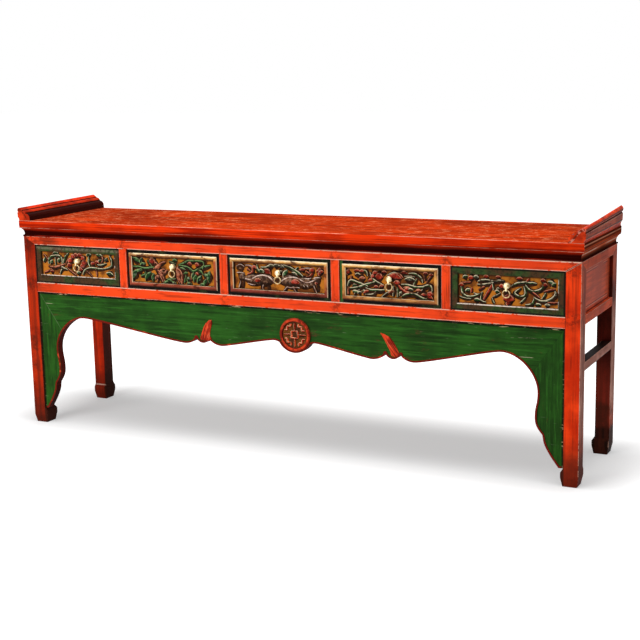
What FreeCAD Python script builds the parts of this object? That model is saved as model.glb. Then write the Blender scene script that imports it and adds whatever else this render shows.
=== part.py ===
"""Altar table with five drawers and upturned end flanges, in lacquered wood.

The part's frame has its origin on the floor under the middle of the table, X along the length,
Y from front to back and Z up. All lengths are millimetres.
"""
import FreeCAD
import Part
import Sketcher
import math
import os
import re

Vector = FreeCAD.Vector
doc = FreeCAD.newDocument("altar_table")

# Driving dimensions

SIZES = [
    ("table_length", 2130, "over the outer faces of the legs"),
    ("table_depth", 450, "over the outer faces of the legs"),
    ("frame_height", 720, "floor to the top of the legs and top rails"),
    ("leg_width", 50, "leg along the table's length"),
    ("leg_depth", 54, "leg from front to back"),
    ("foot_height", 60, "floor to the neck of the horse-hoof foot"),
    ("foot_bulge", 8.5, "how far the foot stands in past the leg"),
    ("foot_bevel", 13, "height of the sloping shoulder on top of the foot"),
    ("toe_height", 30, "height of the tapered toe"),
    ("toe_taper", 6, "how far the toe draws in on every side"),
    ("rail_thickness", 30, "front and back rails, from face to face"),
    ("top_rail_height", 30, "height of the mitred top rails"),
    ("opening_height", 143, "height of the drawer openings"),
    ("bottom_rail_height", 36, "height of the rails under the drawers"),
    ("tenon_length", 25, "rail and stretcher tenons"),
    ("tenon_thickness", 10, "rail and stretcher tenons"),
    ("tenon_setback", 10, "from the outer face of a leg to the tenon"),
    ("tenon_shoulder", 6, "above and below each tenon"),
    ("rail_round", 14, "radius of the rounded lower edge of the end rails"),
    ("stretcher_height", 34, "height of the end stretchers"),
    ("stretcher_thickness", 32, "thickness of the end stretchers"),
    ("stretcher_gap", 115, "end bottom rails down to the end stretchers"),
    ("post_width", 30, "upright posts between the drawers"),
    ("panel_thickness", 10, "end and back panels"),
    ("panel_recess", 12, "panel behind the outer face of its rails"),
    ("waist_height", 32, "moulded strip between the rails and the top"),
    ("waist_thickness", 24, "from the back of the strip to the leg's face"),
    ("waist_flare", 7, "top of the strip outside the leg's face"),
    ("waist_bead", 6, "height of the small bead along the strip's foot"),
    ("waist_hollow", 3, "bottom of the hollow behind the bead"),
    ("top_thickness", 28, "planks and end boards of the top"),
    ("top_overhang", 11, "top outside the legs at front and back"),
    ("end_overhang", 10, "end boards outside the legs"),
    ("edge_bead", 5, "height of the bead under the edge of the top"),
    ("edge_step", 2, "how far that bead steps back"),
    ("arris", 1.5, "worn bevel along the top's edges"),
    ("front_plank_width", 165, "front plank of the top"),
    ("back_plank_width", 140, "back plank of the top"),
    ("end_board_width", 52, "cleat across each end of the planks"),
    ("batten_width", 46, "battens under the top"),
    ("batten_height", 24, "battens under the top"),
    ("flange_height", 47, "upturned flanges above the top at their front ends"),
    ("left_flange_rise", 5, "how much higher the left flange stands at its back end"),
    ("right_flange_rise", 21, "how much higher the right flange stands at its back end"),
    ("flange_overhang", 15, "outer lip of the flange outside the legs"),
    ("apron_thickness", 28, "apron boards"),
    ("apron_recess", 5, "apron behind the front face of the legs"),
    ("pattern_shift", 70, "carved middle of the apron, right of the table's centre"),
    ("arch_reach", 205, "leg to the crown of each end arch"),
    ("arch_drop", 90, "rail to the crown of each end arch"),
    ("lobe_drop", 150, "rail to the lowest points of the apron"),
    ("outer_lobe_offset", 440, "from the roundel's centre"),
    ("outer_cusp_offset", 394, "from the roundel's centre"),
    ("leaf_offset", 363, "from the roundel's centre"),
    ("inner_cusp_offset", 338, "from the roundel's centre"),
    ("inner_lobe_offset", 290, "from the roundel's centre"),
    ("shoulder_offset", 80, "from the roundel's centre"),
    ("roundel_cusp_offset", 57, "from the roundel's centre"),
    ("cusp_drop", 125, "rail to the sharp points beside the leaves"),
    ("leaf_drop", 144, "rail to the foot of the leaves"),
    ("shoulder_drop", 113, "rail to the shoulders beside the roundel"),
    ("roundel_cusp_drop", 121, "rail to the corners beside the roundel"),
    ("roundel_lobe_drop", 152, "rail to the lobe under the roundel"),
    ("right_bracket_reach", 94, "widest part of the right bracket, from the leg"),
    ("left_bracket_reach", 84, "widest part of the left bracket, from the leg"),
    ("tip_width", 15, "lower tip of the brackets"),
    ("edge_bead_width", 6, "raised bead along the apron's lower edge"),
    ("edge_bead_proud", 2.5, "that bead in front of the apron's face"),
    ("roundel_gap", 0.3, "between that bead and the round boss"),
    ("roundel_radius", 58, "round boss in the middle of the apron"),
    ("roundel_shift", 4, "round boss to the right of the pattern's middle"),
    ("roundel_drop", 87.5, "rail to the centre of the round boss"),
    ("roundel_thickness", 10, "boss in front of the apron"),
    ("roundel_rim", 13, "width of the boss's raised rim"),
    ("roundel_sink", 6, "rim down to the boss's carved ground"),
    ("runner_height", 22, "drawer runners below the drawers"),
    ("runner_ledge", 20, "runner beside its guide, under a drawer's side"),
    ("guide_height", 18, "guide strips that the drawers run between"),
    ("drawer_reveal", 1.5, "gap around each drawer front"),
    ("drawer_setback", 1, "drawer front behind the face of the rails"),
    ("drawer_front_thickness", 19, "drawer front"),
    ("drawer_border", 22, "flat border around the carved field"),
    ("drawer_rim", 10, "sunk rim outside the raised bead"),
    ("drawer_rim_sink", 4, "depth of the sunk rim"),
    ("drawer_bead", 13.5, "width of the raised bead"),
    ("field_sink", 7, "depth of the carved field"),
    ("drawer_back_gap", 28, "back of a drawer to the rail behind it"),
    ("drawer_head_gap", 23, "sides of a drawer to the rail above them"),
    ("drawer_side_thickness", 12, "drawer sides and back"),
    ("drawer_side_gap", 3, "drawer side to its guide"),
    ("drawer_bottom_thickness", 7, "drawer bottom board"),
    ("drawer_bottom_lift", 6, "bottom board above the lower edge of the sides"),
    ("running_gap", 0.3, "drawer above its runners"),
    ("pull_base_radius", 9, "small round plate of a pull"),
    ("pull_base_thickness", 1.6, "small round plate of a pull"),
    ("pull_neck_radius", 3.5, "neck of a pull"),
    ("pull_head_radius", 10.5, "domed head of a pull"),
    ("pull_projection", 10, "tip of a pull in front of the leg's face"),
    ("pull_head_thickness", 9.5, "domed head of a pull from front to back"),
    ("pull_shank_radius", 2, "shank through the drawer front"),
    ("pull_shank_gap", 0.1, "shank in its hole"),
    ("pull_shank_end", 3, "shank behind the drawer front"),
    ("ring_radius", 12, "middle line of the swinging ring"),
    ("ring_wire_radius", 1.7, "wire of the ring"),
    ("eye_radius", 2.4, "hole that the ring hangs in"),
    ("eye_wall", 1.8, "metal around the eye"),
    ("eye_thickness", 5, "lug along the table's length"),
    ("eye_rise", 3.5, "eye above the middle of the drawer front"),
    ("head_rise", 13, "centre of the domed head above the eye"),
    ("overrun", 5, "how far a cutting shape runs past its work"),
]

# Sizes that follow from the driving ones

BAYS = 5

# The first four drawer openings as shares of the clear length between the legs, less the posts
BAY_SHARES = (0.1984, 0.2047, 0.2094, 0.1906)

DERIVED = [
    ("half_length", "table_length / 2"),
    ("half_depth", "table_depth / 2"),
    ("inner_x", "half_length - leg_width"),
    ("inner_y", "half_depth - leg_depth"),
    ("opening_top", "frame_height - top_rail_height"),
    ("opening_bottom", "opening_top - opening_height"),
    ("rail_underside", "opening_bottom - bottom_rail_height"),
    ("stretcher_underside", "rail_underside - stretcher_gap - stretcher_height"),
    ("side_rail_thickness", "rail_thickness * leg_width / leg_depth"),
    ("top_underside", "frame_height + waist_height"),
    ("top_surface", "top_underside + top_thickness"),
    ("end_board_inner", "half_length + end_overhang - end_board_width"),
    ("top_half_depth", "half_depth + top_overhang"),
    ("apron_front", "apron_recess - half_depth"),
    ("roundel_x", "pattern_shift + roundel_shift"),
    ("clear_length", "2 * inner_x - %d * post_width" % (BAYS - 1)),
    ("rail_inner_y", "half_depth - rail_thickness"),
    ("drawer_face", "drawer_setback - half_depth"),
    ("drawer_front_back", "drawer_face + drawer_front_thickness"),
    ("drawer_ground", "drawer_face + field_sink"),
    ("drawer_floor", "opening_bottom + running_gap"),
    ("drawer_middle", "opening_bottom + opening_height / 2"),
    ("eye_height", "drawer_middle + eye_rise"),
    ("head_height", "eye_height + head_rise"),
    ("pull_tip", "-half_depth - pull_projection"),
    ("eye_y", "pull_tip + pull_head_thickness / 2"),
    ("bay_1_left", "-inner_x"),
]
for bay, share in enumerate(BAY_SHARES, start=1):
    DERIVED.append(("bay_%d_width" % bay, "%g * clear_length" % share))
    DERIVED.append(("bay_%d_left" % (bay + 1), "bay_%d_left + bay_%d_width + post_width" % (bay, bay)))
DERIVED.append(("bay_%d_width" % BAYS, "inner_x - bay_%d_left" % BAYS))

sheet = doc.addObject("Spreadsheet::Sheet", "sizes")
for row, (alias, value, note) in enumerate(SIZES, start=1):
    sheet.set("A%d" % row, note)
    sheet.set("B%d" % row, str(value))
    sheet.setAlias("B%d" % row, alias)
for row, (alias, formula) in enumerate(DERIVED, start=1):
    sheet.set("D%d" % row, "=" + formula)
    sheet.setAlias("D%d" % row, alias)
doc.recompute()


def sized(formula):
    """A formula in plain size names, written as the document's expressions want it."""
    return re.sub(r"[a-z][a-z_0-9]*", lambda word: "sizes." + word.group(0), formula)


def number(formula):
    """The value of a formula in plain size names."""
    return float(sheet.evalExpression(formula))


def value(name):
    """The value of one named size."""
    return float(getattr(sheet, name))


def negative(formula):
    return "-(%s)" % formula


def span(sign, near, far):
    """Low and high ends of a stretch that is mirrored to the side given by sign."""
    return (near, far) if sign > 0 else (negative(far), negative(near))


# Building blocks

pieces = []


def piece(label, thing):
    """Name a finished sub-part and keep it for the check and the export."""
    thing.Label = label
    pieces.append(thing)
    return thing


def block(name, x, y, z):
    """A plain box between named low and high ends."""
    box = doc.addObject("Part::Box", name)
    for side, axis, (low, high) in zip(("Length", "Width", "Height"), "xyz", (x, y, z)):
        box.setExpression(side, sized("(%s) - (%s)" % (high, low)))
        box.setExpression("Placement.Base." + axis, sized(low))
    return box


def joined(name, parts):
    fuse = doc.addObject("Part::MultiFuse", name)
    fuse.Shapes = parts
    return fuse


def grouped(name, parts):
    """Several separate solids in one sub-part."""
    group = doc.addObject("Part::Compound", name)
    group.Links = parts
    return group


def new_body(name):
    return doc.addObject("PartDesign::Body", name)


def plane_of(body, role):
    return next(item for item in body.Origin.OriginFeatures if item.Role == role)


def sketch_on(body, role, offset, shift=("0", "0")):
    """An empty sketch on one of the body's own origin planes, moved along its normal by offset."""
    sketch = body.newObject("Sketcher::SketchObject", body.Name + "_sketch")
    sketch.AttachmentSupport = [(plane_of(body, role), "")]
    sketch.MapMode = "FlatFace"
    for axis, formula in zip("xyz", (shift[0], shift[1], offset)):
        sketch.setExpression("AttachmentOffset.Base." + axis, sized(formula))
    return sketch


def draw_arc(start, end, radius):
    """Circular arc from start to end, turning left for a positive radius and right for a negative one."""
    chord = end - start
    reach = math.sqrt(max(radius * radius - chord.Length * chord.Length / 4, 0))
    left = Vector(-chord.y, chord.x, 0).normalize()
    centre = (start + end) / 2 + left * math.copysign(reach, radius)
    circle = Part.Circle(centre, Vector(0, 0, 1), abs(radius))
    first, last = (start, end) if radius > 0 else (end, start)
    angles = [math.atan2(point.y - centre.y, point.x - centre.x) for point in (first, last)]
    if angles[1] <= angles[0]:
        angles[1] += 2 * math.pi
    return Part.ArcOfCircle(circle, angles[0], angles[1])


def draw_outline(sketch, corners):
    """A closed outline: each corner is two formulas, and a third one is the radius of an arc to the next."""
    base = sketch.GeometryCount
    count = len(corners)
    points = [Vector(number(corner[0]), number(corner[1]), 0) for corner in corners]
    ends = []
    for index, corner in enumerate(corners):
        start, end = points[index], points[(index + 1) % count]
        if len(corner) == 3:
            radius = number(corner[2])
            sketch.addGeometry(draw_arc(start, end, radius), False)
            ends.append((1, 2) if radius > 0 else (2, 1))
        else:
            sketch.addGeometry(Part.LineSegment(start, end), False)
            ends.append((1, 2))
    for index, corner in enumerate(corners):
        geometry = base + index
        following = (index + 1) % count
        sketch.addConstraint(Sketcher.Constraint(
            "Coincident", geometry, ends[index][1], base + following, ends[following][0]))
        for kind, formula, place in zip(("DistanceX", "DistanceY"), corner, points[index]):
            number_of = sketch.addConstraint(Sketcher.Constraint(kind, geometry, ends[index][0], place))
            sketch.setExpression("Constraints[%d]" % number_of, sized(formula))
        if len(corner) == 3:
            radius = number(corner[2])
            formula = corner[2] if radius > 0 else negative(corner[2])
            number_of = sketch.addConstraint(Sketcher.Constraint("Radius", geometry, abs(radius)))
            sketch.setExpression("Constraints[%d]" % number_of, sized(formula))


def rectangle(x, y):
    return [(x[0], y[0]), (x[1], y[0]), (x[1], y[1]), (x[0], y[1])]


def mirrored(corners, sign):
    """The outline itself, or its mirror image across the vertical axis, still turning left."""
    if sign > 0:
        return corners
    count = len(corners)
    result = []
    for index in range(count):
        here = corners[(count - index) % count]
        before = corners[(count - index - 1) % count]
        corner = (negative(here[0]), here[1])
        result.append(corner + before[2:])
    return result


def pad(body, role, corners, low, high):
    """Extrude an outline between two named ends of the axis across its plane."""
    place = negative(high) if role == "XZ_Plane" else low
    sketch = sketch_on(body, role, place)
    draw_outline(sketch, corners)
    feature = body.newObject("PartDesign::Pad", body.Name + "_pad")
    feature.Profile = sketch
    feature.setExpression("Length", sized("(%s) - (%s)" % (high, low)))
    body.Tip = feature
    return feature


def pocket(body, role, outlines, low, high):
    """Cut outlines into the body between two named ends of the axis across their plane."""
    place = negative(low) if role == "XZ_Plane" else high
    sketch = sketch_on(body, role, place)
    for corners in outlines:
        draw_outline(sketch, corners)
    feature = body.newObject("PartDesign::Pocket", body.Name + "_pocket")
    feature.Profile = sketch
    feature.setExpression("Length", sized("(%s) - (%s)" % (high, low)))
    body.Tip = feature
    return feature


def round_edges(body, is_edge, radius):
    """Fillet the edges of the body's last feature whose middle passes the test."""
    doc.recompute()
    tip = body.Tip
    chosen = []
    for index, edge in enumerate(tip.Shape.Edges, start=1):
        if is_edge(edge.CenterOfMass):
            chosen.append("Edge%d" % index)
    feature = body.newObject("PartDesign::Fillet", body.Name + "_fillet")
    feature.Base = (tip, chosen)
    feature.setExpression("Radius", sized(radius))
    body.Tip = feature
    return feature


# Legs with mitred heads, mortises and horse-hoof feet

def leg_section(sign_x, sign_y, outer, inner):
    """Plan of the leg: drawn in from its outer faces by outer, and grown past its inner faces by inner."""
    x = span(sign_x, "inner_x - (%s)" % inner, "half_length - (%s)" % outer)
    y = span(sign_y, "inner_y - (%s)" % inner, "half_depth - (%s)" % outer)
    return rectangle(x, y)


def make_leg(label, sign_x, sign_y):
    body = new_body(label)
    stations = [
        ("0", "toe_taper", "foot_bulge - toe_taper"),
        ("toe_height", "0", "foot_bulge"),
        ("foot_height - foot_bevel", "0", "foot_bulge"),
        ("foot_height", "0", "0"),
        ("frame_height", "0", "0"),
    ]
    sections = []
    for height, outer, inner in stations:
        sketch = sketch_on(body, "XY_Plane", height)
        draw_outline(sketch, leg_section(sign_x, sign_y, outer, inner))
        sections.append(sketch)
    loft = body.newObject("PartDesign::AdditiveLoft", label + "_loft")
    loft.Profile = sections[0]
    loft.Sections = sections[1:]
    loft.Ruled = True
    body.Tip = loft
    past_top = "frame_height + overrun"
    front_mitre = [("inner_x", "opening_top"), ("half_length", "frame_height"),
                   ("half_length", past_top), ("inner_x", past_top)]
    y = span(sign_y, "rail_inner_y", "half_depth")
    pocket(body, "XZ_Plane", [mirrored(front_mitre, sign_x)], y[0], y[1])
    end_mitre = [("inner_y", "opening_top"), ("half_depth", "frame_height"),
                 ("half_depth", past_top), ("inner_y", past_top)]
    x = span(sign_x, "half_length - side_rail_thickness", "half_length")
    pocket(body, "YZ_Plane", [mirrored(end_mitre, sign_y)], x[0], x[1])
    mortise_z = ("rail_underside + tenon_shoulder", "opening_bottom - tenon_shoulder")
    long_x = span(sign_x, "inner_x", "inner_x + tenon_length")
    long_y = span(sign_y, "half_depth - tenon_setback - tenon_thickness", "half_depth - tenon_setback")
    pocket(body, "YZ_Plane", [rectangle(long_y, mortise_z)], long_x[0], long_x[1])
    end_x = span(sign_x, "half_length - tenon_setback - tenon_thickness", "half_length - tenon_setback")
    end_y = span(sign_y, "inner_y", "inner_y + tenon_length")
    stretcher_z = ("stretcher_underside + tenon_shoulder",
                   "stretcher_underside + stretcher_height - tenon_shoulder")
    mortises = [rectangle(end_x, mortise_z), rectangle(end_x, stretcher_z)]
    pocket(body, "XZ_Plane", mortises, end_y[0], end_y[1])
    return piece(label, body)


SIDES = [("left", -1), ("right", 1)]
ENDS = [("front", -1), ("back", 1)]
for end_word, end_sign in ENDS:
    for side_word, side_sign in SIDES:
        make_leg("leg_%s_%s" % (end_word, side_word), side_sign, end_sign)


# Top rails, mitred to the legs and to each other

def make_long_top_rail(label, sign_y):
    body = new_body(label)
    face = [("-inner_x", "opening_top"), ("inner_x", "opening_top"),
            ("half_length", "frame_height"), ("-half_length", "frame_height")]
    y = span(sign_y, "rail_inner_y", "half_depth")
    pad(body, "XZ_Plane", face, y[0], y[1])
    corner = [("half_length - side_rail_thickness", "rail_inner_y"),
              ("half_length + overrun", "rail_inner_y"),
              ("half_length + overrun", "half_depth"), ("half_length", "half_depth")]
    for sign_x in (-1, 1):
        outline = mirrored(corner, sign_x)
        if sign_y < 0:
            outline = [(x_place, negative(y_place)) for x_place, y_place in reversed(outline)]
        pocket(body, "XY_Plane", [outline], "opening_top - overrun", "frame_height + overrun")
    return piece(label, body)


def make_end_top_rail(label, sign_x):
    body = new_body(label)
    face = [("-inner_y", "opening_top"), ("inner_y", "opening_top"),
            ("half_depth", "frame_height"), ("-half_depth", "frame_height")]
    x = span(sign_x, "half_length - side_rail_thickness", "half_length")
    pad(body, "YZ_Plane", face, x[0], x[1])
    corner = [("half_length - side_rail_thickness", "rail_inner_y"), ("half_length", "half_depth"),
              ("half_length", "half_depth + overrun"),
              ("half_length - side_rail_thickness", "half_depth + overrun")]
    for sign_y in (-1, 1):
        outline = mirrored(corner, sign_x)
        if sign_y < 0:
            outline = [(x_place, negative(y_place)) for x_place, y_place in reversed(outline)]
        pocket(body, "XY_Plane", [outline], "opening_top - overrun", "frame_height + overrun")
    return piece(label, body)


for end_word, end_sign in ENDS:
    make_long_top_rail("%s_top_rail" % end_word, end_sign)
for side_word, side_sign in SIDES:
    make_end_top_rail("end_top_rail_%s" % side_word, side_sign)


# Rails under the drawers and the end stretchers, with their tenons

def make_long_bottom_rail(label, sign_y):
    z = ("rail_underside", "opening_bottom")
    rail = block(label + "_rail", ("-inner_x", "inner_x"), span(sign_y, "rail_inner_y", "half_depth"), z)
    tenon_y = span(sign_y, "half_depth - tenon_setback - tenon_thickness", "half_depth - tenon_setback")
    tenon = block(label + "_tenon", ("-inner_x - tenon_length", "inner_x + tenon_length"), tenon_y,
                  ("rail_underside + tenon_shoulder", "opening_bottom - tenon_shoulder"))
    return piece(label, joined(label, [rail, tenon]))


# An edge counts as found when its middle is within this share of its rounding
NEAR_SHARE = 0.01


def make_end_rail(label, sign_x, underside, top, thickness):
    """A rail between front and back leg with its lower outer edge rounded, and a tenon at each end."""
    body = new_body(label)
    x = span(sign_x, "half_length - %s" % thickness, "half_length")
    pad(body, "XZ_Plane", rectangle(x, (underside, top)), "-inner_y", "inner_y")
    lower_edge = Vector(sign_x * value("half_length"), 0, number(underside))
    near = NEAR_SHARE * value("rail_round")
    round_edges(body, lambda middle: middle.distanceToPoint(lower_edge) < near, "rail_round")
    tenon_x = span(sign_x, "half_length - tenon_setback - tenon_thickness", "half_length - tenon_setback")
    tenon_z = ("%s + tenon_shoulder" % underside, "%s - tenon_shoulder" % top)
    pad(body, "XZ_Plane", rectangle(tenon_x, tenon_z), "-inner_y - tenon_length", "inner_y + tenon_length")
    return piece(label, body)


for end_word, end_sign in ENDS:
    make_long_bottom_rail("%s_bottom_rail" % end_word, end_sign)
for side_word, side_sign in SIDES:
    make_end_rail("end_bottom_rail_%s" % side_word, side_sign,
                  "rail_underside", "opening_bottom", "side_rail_thickness")
    make_end_rail("end_stretcher_%s" % side_word, side_sign, "stretcher_underside",
                  "stretcher_underside + stretcher_height", "stretcher_thickness")


# Posts between the drawers, panels, runners and battens

OPENING = ("opening_bottom", "opening_top")
for bay in range(1, BAYS):
    left = "bay_%d_left + bay_%d_width" % (bay, bay)
    post = block("drawer_post_%d" % bay, (left, left + " + post_width"),
                 ("-half_depth", "-rail_inner_y"), OPENING)
    piece("drawer_post_%d" % bay, post)
for side_word, side_sign in SIDES:
    x_range = span(side_sign, "half_length - panel_recess - panel_thickness", "half_length - panel_recess")
    piece("end_panel_" + side_word,
          block("end_panel_" + side_word, x_range, ("-inner_y", "inner_y"), OPENING))
piece("back_panel", block("back_panel", ("-inner_x", "inner_x"),
                          ("half_depth - panel_recess - panel_thickness", "half_depth - panel_recess"),
                          OPENING))

RUNNER_Y = ("-rail_inner_y", "rail_inner_y")
RUNNER_Z = ("opening_bottom - runner_height", "opening_bottom")
runners = []
guides = []
for bay in range(1, BAYS):
    left = "bay_%d_left + bay_%d_width" % (bay, bay)
    right = left + " + post_width"
    runners.append(block("runner_%d" % bay, (left + " - runner_ledge", right + " + runner_ledge"),
                         RUNNER_Y, RUNNER_Z))
    guides.append(block("guide_%d" % bay, (left, right), RUNNER_Y,
                        ("opening_bottom", "opening_bottom + guide_height")))
for side_word, side_sign in SIDES:
    runners.append(block("runner_" + side_word, span(side_sign, "inner_x - runner_ledge", "inner_x"),
                         RUNNER_Y, RUNNER_Z))
    guides.append(block("guide_" + side_word, span(side_sign, "inner_x", "half_length - side_rail_thickness"),
                        ("-inner_y", "inner_y"),
                        ("opening_bottom - runner_height", "opening_bottom + guide_height")))
piece("drawer_runners", grouped("drawer_runners", runners))
piece("drawer_guides", grouped("drawer_guides", guides))

# The middle batten and the two beside it stand at these shares of half the planks' length
BATTEN_SHARES = (-0.6, 0, 0.6)
battens = []
for index, share in enumerate(BATTEN_SHARES):
    centre = "%g * end_board_inner" % share
    across = (centre + " - batten_width / 2", centre + " + batten_width / 2")
    battens.append(block("batten_%d" % index, across,
                         ("waist_thickness - half_depth", "half_depth - waist_thickness"),
                         ("top_underside - batten_height", "top_underside")))
piece("top_battens", grouped("top_battens", battens))


# Moulded waist strips, mitred at the corners

def waist_section(face):
    """Strip seen from its end, with its outer side towards positive x; face is the leg's face."""
    return [
        (face + " - waist_thickness", "frame_height"),
        (face, "frame_height", "0.55 * waist_bead"),
        (face, "frame_height + waist_bead"),
        (face + " - waist_hollow", "frame_height + waist_bead", "-0.9 * waist_height"),
        (face + " + waist_flare", "top_underside"),
        (face + " - waist_thickness", "top_underside"),
    ]


def make_long_waist(label, sign_y):
    body = new_body(label)
    pad(body, "YZ_Plane", mirrored(waist_section("half_depth"), sign_y),
        "-half_length - waist_flare", "half_length + waist_flare")
    y_ends = ("half_depth - waist_thickness - overrun", "half_depth + waist_flare + overrun")
    corner = [("half_length - waist_thickness - overrun", y_ends[0]),
              ("half_length + waist_flare + overrun", y_ends[0]),
              ("half_length + waist_flare + overrun", y_ends[1])]
    for sign_x in (-1, 1):
        outline = mirrored(corner, sign_x)
        if sign_y < 0:
            outline = [(x_place, negative(y_place)) for x_place, y_place in reversed(outline)]
        pocket(body, "XY_Plane", [outline], "frame_height - overrun", "top_underside + overrun")
    return piece(label, body)


def make_end_waist(label, sign_x):
    body = new_body(label)
    pad(body, "XZ_Plane", mirrored(waist_section("half_length"), sign_x),
        "-half_depth - waist_flare", "half_depth + waist_flare")
    x_ends = ("half_length - waist_thickness - overrun", "half_length + waist_flare + overrun")
    corner = [(x_ends[0], "half_depth - waist_thickness - overrun"),
              (x_ends[1], "half_depth + waist_flare + overrun"),
              (x_ends[0], "half_depth + waist_flare + overrun")]
    for sign_y in (-1, 1):
        outline = mirrored(corner, sign_x)
        if sign_y < 0:
            outline = [(x_place, negative(y_place)) for x_place, y_place in reversed(outline)]
        pocket(body, "XY_Plane", [outline], "frame_height - overrun", "top_underside + overrun")
    return piece(label, body)


for end_word, end_sign in ENDS:
    make_long_waist("waist_%s" % end_word, end_sign)
for side_word, side_sign in SIDES:
    make_end_waist("waist_%s" % side_word, side_sign)


# Planks, end boards and upturned flanges of the top

def edge_section(inner, outer):
    """Board seen from its end: flat band, worn arris and a small bead under it on the outer edge."""
    return [
        (inner, "top_underside"),
        (outer + " - edge_step", "top_underside", "0.6 * edge_bead"),
        (outer + " - edge_step", "top_underside + edge_bead"),
        (outer, "top_underside + edge_bead"),
        (outer, "top_surface - arris"),
        (outer + " - arris", "top_surface"),
        (inner, "top_surface"),
    ]


PLANK_ENDS = ("-end_board_inner", "end_board_inner")
front_plank = new_body("top_plank_front")
front_section = edge_section("top_half_depth - front_plank_width", "top_half_depth")
pad(front_plank, "YZ_Plane", mirrored(front_section, -1), *PLANK_ENDS)
piece("top_plank_front", front_plank)
back_plank = new_body("top_plank_back")
pad(back_plank, "YZ_Plane", edge_section("top_half_depth - back_plank_width", "top_half_depth"), *PLANK_ENDS)
piece("top_plank_back", back_plank)
piece("top_plank_middle", block("top_plank_middle", PLANK_ENDS,
                                ("front_plank_width - top_half_depth", "top_half_depth - back_plank_width"),
                                ("top_underside", "top_surface")))

# Flange section: shares of its width from the inner foot outwards, shares of its height, and the
# radius of the arc to the next point as a share of the height
FLANGE_SHARES = [
    (0.00, 0.00, None),
    (0.87, 0.00, -0.32),
    (0.97, 0.27, None),
    (0.98, 0.62, None),
    (0.92, 0.66, None),
    (0.92, 0.68, 0.19),
    (0.86, 1.00, None),
    (0.61, 0.83, None),
    (0.59, 0.78, 0.32),
    (0.33, 0.60, None),
    (0.31, 0.55, 0.30),
    (0.05, 0.36, None),
    (0.03, 0.33, None),
]


def flange_section(height):
    foot = "end_board_inner"
    width = "(half_length + flange_overhang - end_board_inner)"
    corners = []
    for across, up, turn in FLANGE_SHARES:
        corner = ("%s + %g * %s" % (foot, across, width), "top_surface + %g * (%s)" % (up, height))
        if turn is not None:
            corner += ("%g * (%s)" % (turn, height),)
        corners.append(corner)
    return corners


def make_flange(label, sign_x, back_height):
    """Moulded flange between its front and its back section, which may differ in height."""
    body = new_body(label)
    sections = []
    for depth, height in (("top_half_depth", "flange_height"), ("-top_half_depth", back_height)):
        sketch = sketch_on(body, "XZ_Plane", depth)
        draw_outline(sketch, mirrored(flange_section(height), sign_x))
        sections.append(sketch)
    loft = body.newObject("PartDesign::AdditiveLoft", label + "_loft")
    loft.Profile = sections[0]
    loft.Sections = sections[1:]
    loft.Ruled = True
    body.Tip = loft
    return piece(label, body)


make_flange("flange_left", -1, "flange_height + left_flange_rise")
make_flange("flange_right", 1, "flange_height + right_flange_rise")
for side_word, side_sign in SIDES:
    end_board = new_body("end_board_" + side_word)
    pad(end_board, "XZ_Plane",
        mirrored(edge_section("end_board_inner", "half_length + end_overhang"), side_sign),
        "-top_half_depth", "top_half_depth")
    piece("end_board_" + side_word, end_board)


# Shaped apron in three boards: the long middle one is mitred to a bracket beside each front leg

def curve(points):
    """Smooth edge through its end points, pulled by the points between them."""
    bezier = Part.BezierCurve()
    bezier.setPoles(points)
    return bezier.toShape()


def swell(start, end, upright=(False, False), pull_share=0.5):
    """Curve that leaves and arrives level, or upright where said, and is straighter for a small share."""
    run, rise = end.x - start.x, end.z - start.z
    first = Vector(0, 0, rise * pull_share) if upright[0] else Vector(run * pull_share, 0, 0)
    last = Vector(0, 0, rise * pull_share) if upright[1] else Vector(run * pull_share, 0, 0)
    return curve([start, start + first, end - last, end])


# Points of a bracket's edge: shares of its reach from the leg and of its height down from the rail
THROAT_SHARES = (0.91, 0.475)
BELLY_SHARES = (1.00, 0.648)
NOTCH_SHARES = (0.73, 0.772)
NOTCH_FOOT_SHARES = (0.70, 0.802)

# The tail's edge is pulled by points at these shares of its run and rise, from the tip upwards
TAIL_SHARES = ((0.37, 0.27), (0.99, 0.74))

# The long rises beside the crowns and the roundel are nearly straight
RISE_SHARE = 0.12


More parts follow.
